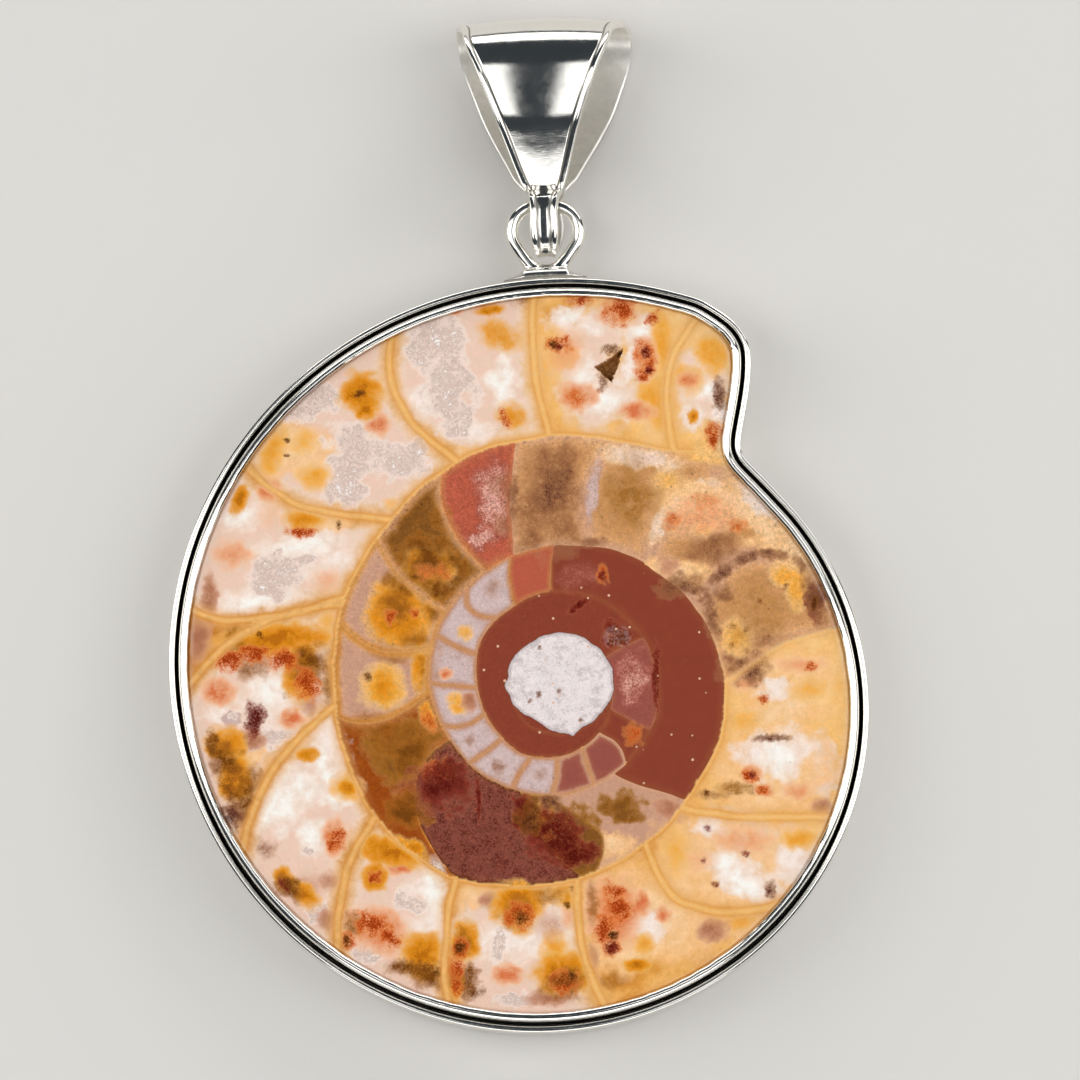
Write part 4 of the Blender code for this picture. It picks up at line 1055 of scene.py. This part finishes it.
def make_stone(settings):
    """The slice: a fine flat face with a hollow and pits, rounded edges, and a plainer back."""
    silver = bpy.context.scene.pendant_silver
    top, underside, rounding = settings.top / MM, settings.underside / MM, settings.edge_round / MM
    edge = (silver.wall_thick + silver.groove + silver.bezel_thick) / MM + SIDE_GAP + POLISHED_OFF
    outline = shell_outline()
    steps = np.linspace(90, 0, EDGE_STEPS)
    arc = [(1 - math.cos(math.radians(a)), 1 - math.sin(math.radians(a))) for a in steps]
    levels = [(edge + rounding * out, top - rounding * down) for out, down in arc]
    middle = np.linspace(top - rounding, underside + rounding, SIDE_STEPS)[1:-1]
    levels += [(edge, height) for height in middle]
    levels += [(edge + rounding * out, underside + rounding * down) for out, down in arc[::-1]]
    rings = [deep_inset(outline, distance) for distance, _ in levels]
    count = len(outline)
    heights = [height for _, height in levels]
    sides = np.vstack([np.column_stack((ring, np.full(count, z))) for ring, z in zip(rings, heights)])
    faces = ring_faces(len(rings), count)

    rim = hollow_rim()
    grid = point_grid(rings[0], settings.front_grain / MM)
    fine = settings.crystal_grain / MM
    clear = ~inside(inset(rim, -EDGE_CLEARANCE), grid)
    druses = [point_grid(rim, fine)]
    for x, y, radius, _ in PITS:
        turn = np.linspace(0, math.tau, PIT_SIDES, endpoint=False)
        edge_of_pit = np.stack((x + radius * np.cos(turn), y + radius * np.sin(turn)), -1)
        clear &= ~inside(inset(edge_of_pit, -EDGE_CLEARANCE), grid)
        druses.append(point_grid(edge_of_pit, fine))
    front, front_faces = flat_faces((rings[0], rim), np.vstack((grid[clear], *druses)))
    depth = sunk_depth(front, rim, count + len(rim))
    back, back_faces = flat_faces((rings[-1],), point_grid(rings[-1], settings.back_grain / MM))

    start = len(sides)
    front_index = np.concatenate((np.arange(count), start + np.arange(len(front) - count)))
    start += len(front) - count
    last = (len(rings) - 1) * count
    back_index = np.concatenate((last + np.arange(count), start + np.arange(len(back) - count)))
    front_points = np.column_stack((front[count:], top - depth[count:]))
    back_points = np.column_stack((back[count:], np.full(len(back) - count, underside)))
    points = np.vstack((sides, front_points, back_points))
    faces = [face[::-1] for face in faces]
    faces += front_index[front_faces].tolist()
    faces += back_index[back_faces][:, ::-1].tolist()
    looks = agate()
    stone = new_piece(
        "agate_slice", points.tolist(), faces, "pendant", looks, "agatised_shell", "ammonite_slice"
    )
    for name, values in pattern(points[:, :2], settings.line_width / MM).items():
        set_attribute(stone.data, name, values)
    pit = np.concatenate((np.zeros(len(sides)), depth[count:], np.zeros(len(back_points))))
    set_attribute(stone.data, "pit", pit)


def swept_ring(name, outline, profile, material, node):
    """A closed ring: a profile of insets, heights and tarnish, carried round the outline."""
    count = len(outline)
    rings = [np.column_stack((inset(outline, off), np.full(count, height))) for off, height, _ in profile]
    faces = [face[::-1] for face in ring_faces(len(rings), count, closed=True)]
    piece = new_piece(name, np.vstack(rings).tolist(), faces, "pendant", material, "silver", node)
    set_attribute(piece.data, "tarnish", np.repeat([dull for *_, dull in profile], count))


def make_setting(settings):
    """The outer wall on its ledge, and the bezel strip rubbed over the stone by hand."""
    outline = shell_outline()
    material = polished_silver(settings, "polished sterling silver")
    thick, height = settings.wall_thick / MM, settings.wall_height / MM
    ledge, reach = settings.ledge_thick / MM, settings.ledge_reach / MM
    crown, bevel, joint = thick / 2, 0.1, 0.15
    turn = np.radians(np.linspace(0, 180, 13))
    top = [(crown + crown * math.cos(a), height - crown + crown * math.sin(a), 0.1 * (a == 0)) for a in turn]
    # Round the ledge, up inside the wall, over its round top and down its outside.
    profile = [
        (bevel, 0.0, 0.3), (reach - bevel, 0.0, 0.3), (reach, bevel, 0.3), (reach, ledge - bevel, 0.3),
        (reach - bevel, ledge, 0.3), (thick + joint, ledge, 0.9), (thick, ledge + joint, 0.9),
        (thick, height * 0.5, 0.6), *top, (0.0, height * 0.66, 0.0), (0.0, height * 0.33, 0.0),
        (0.0, bevel, 0.1),
    ]
    profile = [(max(distance, POLISHED_OFF), level, dull) for distance, level, dull in profile]
    swept_ring("setting_wall", outline, profile, material, "outer_frame")

    outer = thick + settings.groove / MM
    inner = outer + settings.bezel_thick / MM
    tip, top = inner + settings.lip_reach / MM, settings.bezel_top / MM
    foot = ledge + 0.3
    corners = (
        (inner, top - 0.80), (inner + 0.08, top - 0.50), (tip - 0.06, top - 0.34), (tip, top - 0.21),
        (tip - 0.05, top - 0.08), (inner + 0.06, top), (outer + 0.20, top - 0.07),
        (outer + 0.06, top - 0.24), (outer, top - 0.60),
    )
    lip = smooth_loop(corners, 4)[: 4 * (len(corners) - 1) + 1]
    half_way = (foot + top) / 2
    # The rubbing tool left the lip uneven, in waves of 3 mm and finer ones of 1 mm.
    count = len(outline)
    rubbed = np.abs(0.045 * wander(count, 40, 1) + 0.02 * wander(count, 120, 2))
    profile = []
    for distance, level in ((outer, foot), (inner, foot), (inner, half_way), *lip, (outer, half_way)):
        share = np.clip((level - (top - 0.6)) / 0.3, 0, 1) * np.clip((distance - outer - 0.1) / 0.3, 0, 1)
        dull = 0.7 - 0.7 * np.clip((level - (top - 0.7)) / 0.3, 0, 1)
        profile.append((distance - rubbed * share, level - 0.5 * rubbed * share, dull))
    swept_ring("setting_bezel", outline, profile, material, "bezel_strip")


def above_setting(x, height):
    """A point above the setting's outer edge, beside the ring's middle by x."""
    angle = math.pi / 2 - math.atan2(LOOP_X + x - COIL_MIDDLE[0], LOOP_LOW_Y - COIL_MIDDLE[1])
    return coil_point(np.float64(angle), SIDE_GAP + height)


def soldered(points, faces):
    """Solids that overlap, melted into one and smoothed, as points and faces."""
    mesh = bpy.data.meshes.new("rough")
    mesh.from_pydata(points.tolist(), [], faces)
    rough = bpy.data.objects.new("rough", mesh)
    bpy.context.scene.collection.objects.link(rough)
    melt = rough.modifiers.new("Solder", "REMESH")
    melt.mode = "VOXEL"
    melt.voxel_size = SOLDER_GRAIN
    polish = rough.modifiers.new("Polish", "SMOOTH")
    polish.factor = 0.5
    polish.iterations = POLISH_PASSES
    graph = bpy.context.evaluated_depsgraph_get()
    melted = bpy.data.meshes.new_from_object(rough.evaluated_get(graph))
    bpy.data.objects.remove(rough)
    points = [tuple(vertex.co) for vertex in melted.vertices]
    return points, [tuple(face.vertices) for face in melted.polygons]


def make_loop(settings):
    """The ring of round wire with its soldered foot, melted together and smoothed."""
    right = [(LOOP_X + x, y) for x, y in LOOP_HALF]
    left = [(LOOP_X - x, y) for x, y in LOOP_HALF]
    route = smooth_loop([(LOOP_X, LOOP_LOW_Y), *right, (LOOP_X, LOOP_HIGH_Y), *left[::-1]], 5)
    radius = settings.wire / MM
    turn = np.linspace(0, math.tau, WIRE_SIDES, endpoint=False)
    rings = []
    for a in turn:
        ring = inset(route, radius * math.cos(a))
        rings.append(np.column_stack((ring, np.full(len(route), LOOP_Z + radius * math.sin(a)))))
    points = np.vstack(rings)
    faces = ring_faces(len(rings), len(route), closed=True)

    # The foot: round-topped, highest between the wire's ends, and running out thin to both sides.
    reach, height = np.array(FOOT_HALF)[::-1].T
    turn = np.radians(np.linspace(-90, 90, FOOT_SIDES))
    stations = np.linspace(-FOOT_REACH, FOOT_REACH, FOOT_STEPS)
    start = len(points)
    foot = []
    for x in stations:
        high = np.interp(abs(x), (0.0, *reach), (height[0], *height))
        deep = FOOT_HALF_DEPTH * (0.35 + 0.65 * min(1.0, high / 0.5))
        foot += [(*above_setting(x, 0.02 + high * math.cos(a)), LOOP_Z + deep * math.sin(a)) for a in turn]
    points = np.vstack((points, foot))
    count = len(turn)
    faces += [tuple(start + i for i in reversed(face)) for face in ring_faces(len(stations), count)]
    last = len(points) - count
    faces += [tuple(start + i for i in reversed(range(count))), tuple(last + i for i in range(count))]
    points, faces = soldered(points, faces)
    wire = polished_silver(settings, "soldered silver wire")
    loop = new_piece("wire_loop", points, faces, "pendant", wire, "silver", "hanging_loop")
    # Tarnish lies on the foot, and fades out where the ring leaves it.
    low = np.array([point[1] for point in points])
    set_attribute(loop.data, "tarnish", np.clip(0.7 - (low - 24.2) / 1.2, 0, 1))


def make_bail(settings):
    """One strip with rounded raised rims, folded over at the top and closed in an eye round the ring."""
    front = [(height, depth, width) for height, depth, width, _ in BAIL_STATIONS]
    back = [(height, -depth, width) for height, depth, _, width in BAIL_STATIONS]
    stations = smooth_loop([BAIL_TOP, *front, BAIL_EYE_END, *back[::-1]], BAIL_STEPS)
    along = np.roll(stations, -1, 0)[:, :2] - np.roll(stations, 1, 0)[:, :2]
    along /= np.linalg.norm(along, axis=1)[:, None]
    out = np.stack((along[:, 1], -along[:, 0]), -1)
    thick = settings.bail_thick / MM
    rim_width, rim_height = settings.rim_width / MM, settings.rim_height / MM
    # Columns across the strip: close together over its edges, rims and lines, and even between them.
    edge = np.hstack((np.linspace(0, 0.12, 4), np.linspace(0.16, 0.62, 12), np.linspace(0.7, RIM_BAND, 2)))
    half = stations[:, 2] / 2
    narrowed = np.minimum(1, half / NARROW)
    columns = [edge_distance * narrowed - half for edge_distance in edge]
    for step in range(1, BAIL_COLUMNS + 1):
        columns.append((half - RIM_BAND * narrowed) * (2 * step / (BAIL_COLUMNS + 1) - 1))
    columns += [half - edge_distance * narrowed for edge_distance in edge[::-1]]
    rings, tarnish = [], []
    for front_face in (True, False):
        for across in columns:
            to_edge = half - np.abs(across)
            crown = BAIL_CROWN * 2 * half * (1 - (across / half) ** 2)
            bead = rim_height * np.clip(1.25 - to_edge / (rim_width * 0.8), 0, 1) ** 0.5
            line = np.exp(-(((to_edge - rim_width * 1.25) / LINE_HALF) ** 2))
            worn = EDGE_WEAR * np.clip(1 - to_edge / 0.12, 0, 1) ** 2
            if front_face:
                level = crown + thick / 2 + bead - LINE_DEPTH * line - worn - POLISHED_OFF
                tarnish.append(0.9 * line)
            else:
                across = -across
                level = crown - thick / 2 + 0.5 * worn
                tarnish.append(np.full(len(half), 0.1))
            place = stations[:, :2] + out * level[:, None]
            rings.append(np.column_stack((across + BAIL_SLANT * place[:, 1], place)))
    points = np.vstack(rings)
    turn = Matrix.Rotation(BAIL_LEAN, 3, "Z") @ Matrix.Rotation(BAIL_LIFT, 3, "X")
    points = points @ np.array(turn).T + np.array((LOOP_X, AXIS_Y, LOOP_Z))
    faces = [face[::-1] for face in ring_faces(len(rings), len(stations), closed=True)]
    sheet = polished_silver(settings, "brushed and polished silver sheet", 0.6, (0.0, 0.0, 1.5), 0.9)
    bail = new_piece("folded_bail", points.tolist(), faces, "bail", sheet, "silver", "bail")
    set_attribute(bail.data, "tarnish", np.concatenate(tarnish))
    set_attribute(bail.data, "satin", np.arange(len(points)) >= len(points) / 2)


# Each light's place, whether it aims at the pendant or straight down, its width and height, and its
# power. The pair overhead lies beside the middle, so that the flat stone doesn't mirror it. The corner
# one brightens the rims at the shell's mouth.
LIGHTS = {
    "left softbox": ((-0.45, 0.05, 0.35), True, (0.35, 0.6), 1.65),
    "right softbox": ((0.45, 0.0, 0.35), True, (0.35, 0.6), 1.55),
    "left overhead softbox": ((-0.165, -0.10, 0.52), False, (0.19, 0.5), 0.42),
    "right overhead softbox": ((0.165, -0.10, 0.52), False, (0.19, 0.5), 0.42),
    "front softbox": ((0.0, -0.6, 0.2), True, (0.9, 0.25), 1.35),
    "back softbox": ((0.0, 0.55, 0.2), True, (0.9, 0.25), 1.5),
    "corner softbox": ((0.4, 0.42, 0.27), True, (0.35, 0.3), 0.5),
}
FLOOR_REACH = 1.5
CAMERA_AIM = Vector((1.27, -1.06, 4.3))
SENSOR_WIDTH = 36.0


def make_stage(settings):
    """A pale floor, soft light from all sides, and a camera that looks down on the pendant."""
    scene = bpy.context.scene
    middle = (CAD_LOW + CAD_HIGH) / 2
    corners = [(x * FLOOR_REACH, y * FLOOR_REACH, 0.0) for x, y in ((-1, -1), (1, -1), (1, 1), (-1, 1))]
    mesh = bpy.data.meshes.new("floor")
    mesh.from_pydata(corners, [], [(0, 1, 2, 3)])
    floor = bpy.data.objects.new("floor", mesh)
    scene.collection.objects.link(floor)
    # Matt paper: no shine, and a faint unevenness of its fibres, drawn 0.5 mm wide so that it shows.
    material, tree, shader, place = new_material("matt paper")
    fibres = add_node(tree, "TexNoise", {"Vector": place, "Scale": 2.0, "Detail": 4.0})["Fac"]
    relief = add_node(tree, "Bump", {"Height": fibres, "Strength": 0.1, "Distance": 0.05 * MM})[0]
    fill_inputs(tree, shader, {"Base Color": (*settings.floor, 1.0), "Roughness": 0.9, "Normal": relief})
    mesh.materials.append(material)

    scene.world = bpy.data.worlds.new("studio")
    scene.world.use_nodes = True
    tree = scene.world.node_tree
    fill_inputs(tree, tree.nodes["Background"], {"Color": (0.7, 0.85, 1.0, 1.0), "Strength": 0.05})
    for name, (place, aimed, size, power) in LIGHTS.items():
        light = bpy.data.lights.new(name, "AREA")
        light.shape = "RECTANGLE"
        light.size, light.size_y = size
        light.energy = power * settings.strength
        lamp = bpy.data.objects.new(name, light)
        lamp.location = place
        if aimed:
            lamp.rotation_euler = (Vector(middle) - Vector(place)).to_track_quat("-Z", "Y").to_euler()
        scene.collection.objects.link(lamp)

    camera = bpy.data.cameras.new("camera")
    camera.sensor_width = SENSOR_WIDTH
    camera.lens = SENSOR_WIDTH * settings.distance / settings.view_width
    camera.clip_start = 0.01
    view = bpy.data.objects.new("camera", camera)
    back = Vector((0.0, -math.sin(settings.tilt), math.cos(settings.tilt)))
    view.location = CAMERA_AIM * MM + settings.distance * back
    view.rotation_euler = (settings.tilt, 0.0, 0.0)
    scene.collection.objects.link(view)
    scene.camera = view
    scene.view_settings.view_transform = "Standard"


class PENDANT_OT_stone(bpy.types.Operator):
    """Makes the polished slice of fossil shell"""

    bl_idname = "pendant.stone"
    bl_label = "Fossil slice"

    def execute(self, context):
        make_stone(context.scene.pendant_stone)
        return {"FINISHED"}


class PENDANT_OT_setting(bpy.types.Operator):
    """Makes the silver wall and the bezel that hold the slice"""

    bl_idname = "pendant.setting"
    bl_label = "Setting"

    def execute(self, context):
        make_setting(context.scene.pendant_silver)
        return {"FINISHED"}


class PENDANT_OT_loop(bpy.types.Operator):
    """Makes the wire ring with its soldered foot"""

    bl_idname = "pendant.loop"
    bl_label = "Wire loop"

    def execute(self, context):
        make_loop(context.scene.pendant_silver)
        return {"FINISHED"}


class PENDANT_OT_bail(bpy.types.Operator):
    """Makes the folded bail that swings on the ring"""

    bl_idname = "pendant.bail"
    bl_label = "Bail"

    def execute(self, context):
        make_bail(context.scene.pendant_silver)
        return {"FINISHED"}


class PENDANT_OT_stage(bpy.types.Operator):
    """Makes the floor, the lights and the camera"""

    bl_idname = "pendant.stage"
    bl_label = "Stage"

    def execute(self, context):
        make_stage(context.scene.pendant_stage)
        return {"FINISHED"}


OPERATORS = (PENDANT_OT_stone, PENDANT_OT_setting, PENDANT_OT_loop, PENDANT_OT_bail, PENDANT_OT_stage)
SETTINGS = {"pendant_stone": StoneSettings, "pendant_silver": SilverSettings, "pendant_stage": StageSettings}


class PENDANT_PT_panel(bpy.types.Panel):
    """Lists the pendant's pieces and their sizes and colours"""

    bl_idname = "PENDANT_PT_panel"
    bl_label = "Pendant"
    bl_space_type = "VIEW_3D"
    bl_region_type = "UI"
    bl_category = "Pendant"

    def draw(self, context):
        for operator in OPERATORS:
            self.layout.operator(operator.bl_idname)
        for name, group in SETTINGS.items():
            box = self.layout.box()
            for setting in group.__annotations__:
                box.prop(getattr(context.scene, name), setting)


def register():
    for group in (*SETTINGS.values(), *OPERATORS, PENDANT_PT_panel):
        bpy.utils.register_class(group)
    for name, group in SETTINGS.items():
        setattr(bpy.types.Scene, name, PointerProperty(type=group))


def unregister():
    for name in SETTINGS:
        delattr(bpy.types.Scene, name)
    for group in (PENDANT_PT_panel, *reversed(OPERATORS), *SETTINGS.values()):
        bpy.utils.unregister_class(group)


def main():
    register()
    bpy.ops.pendant.stone()
    bpy.ops.pendant.setting()
    bpy.ops.pendant.loop()
    bpy.ops.pendant.bail()
    bpy.ops.pendant.stage()


if __name__ == "__main__":
    main()
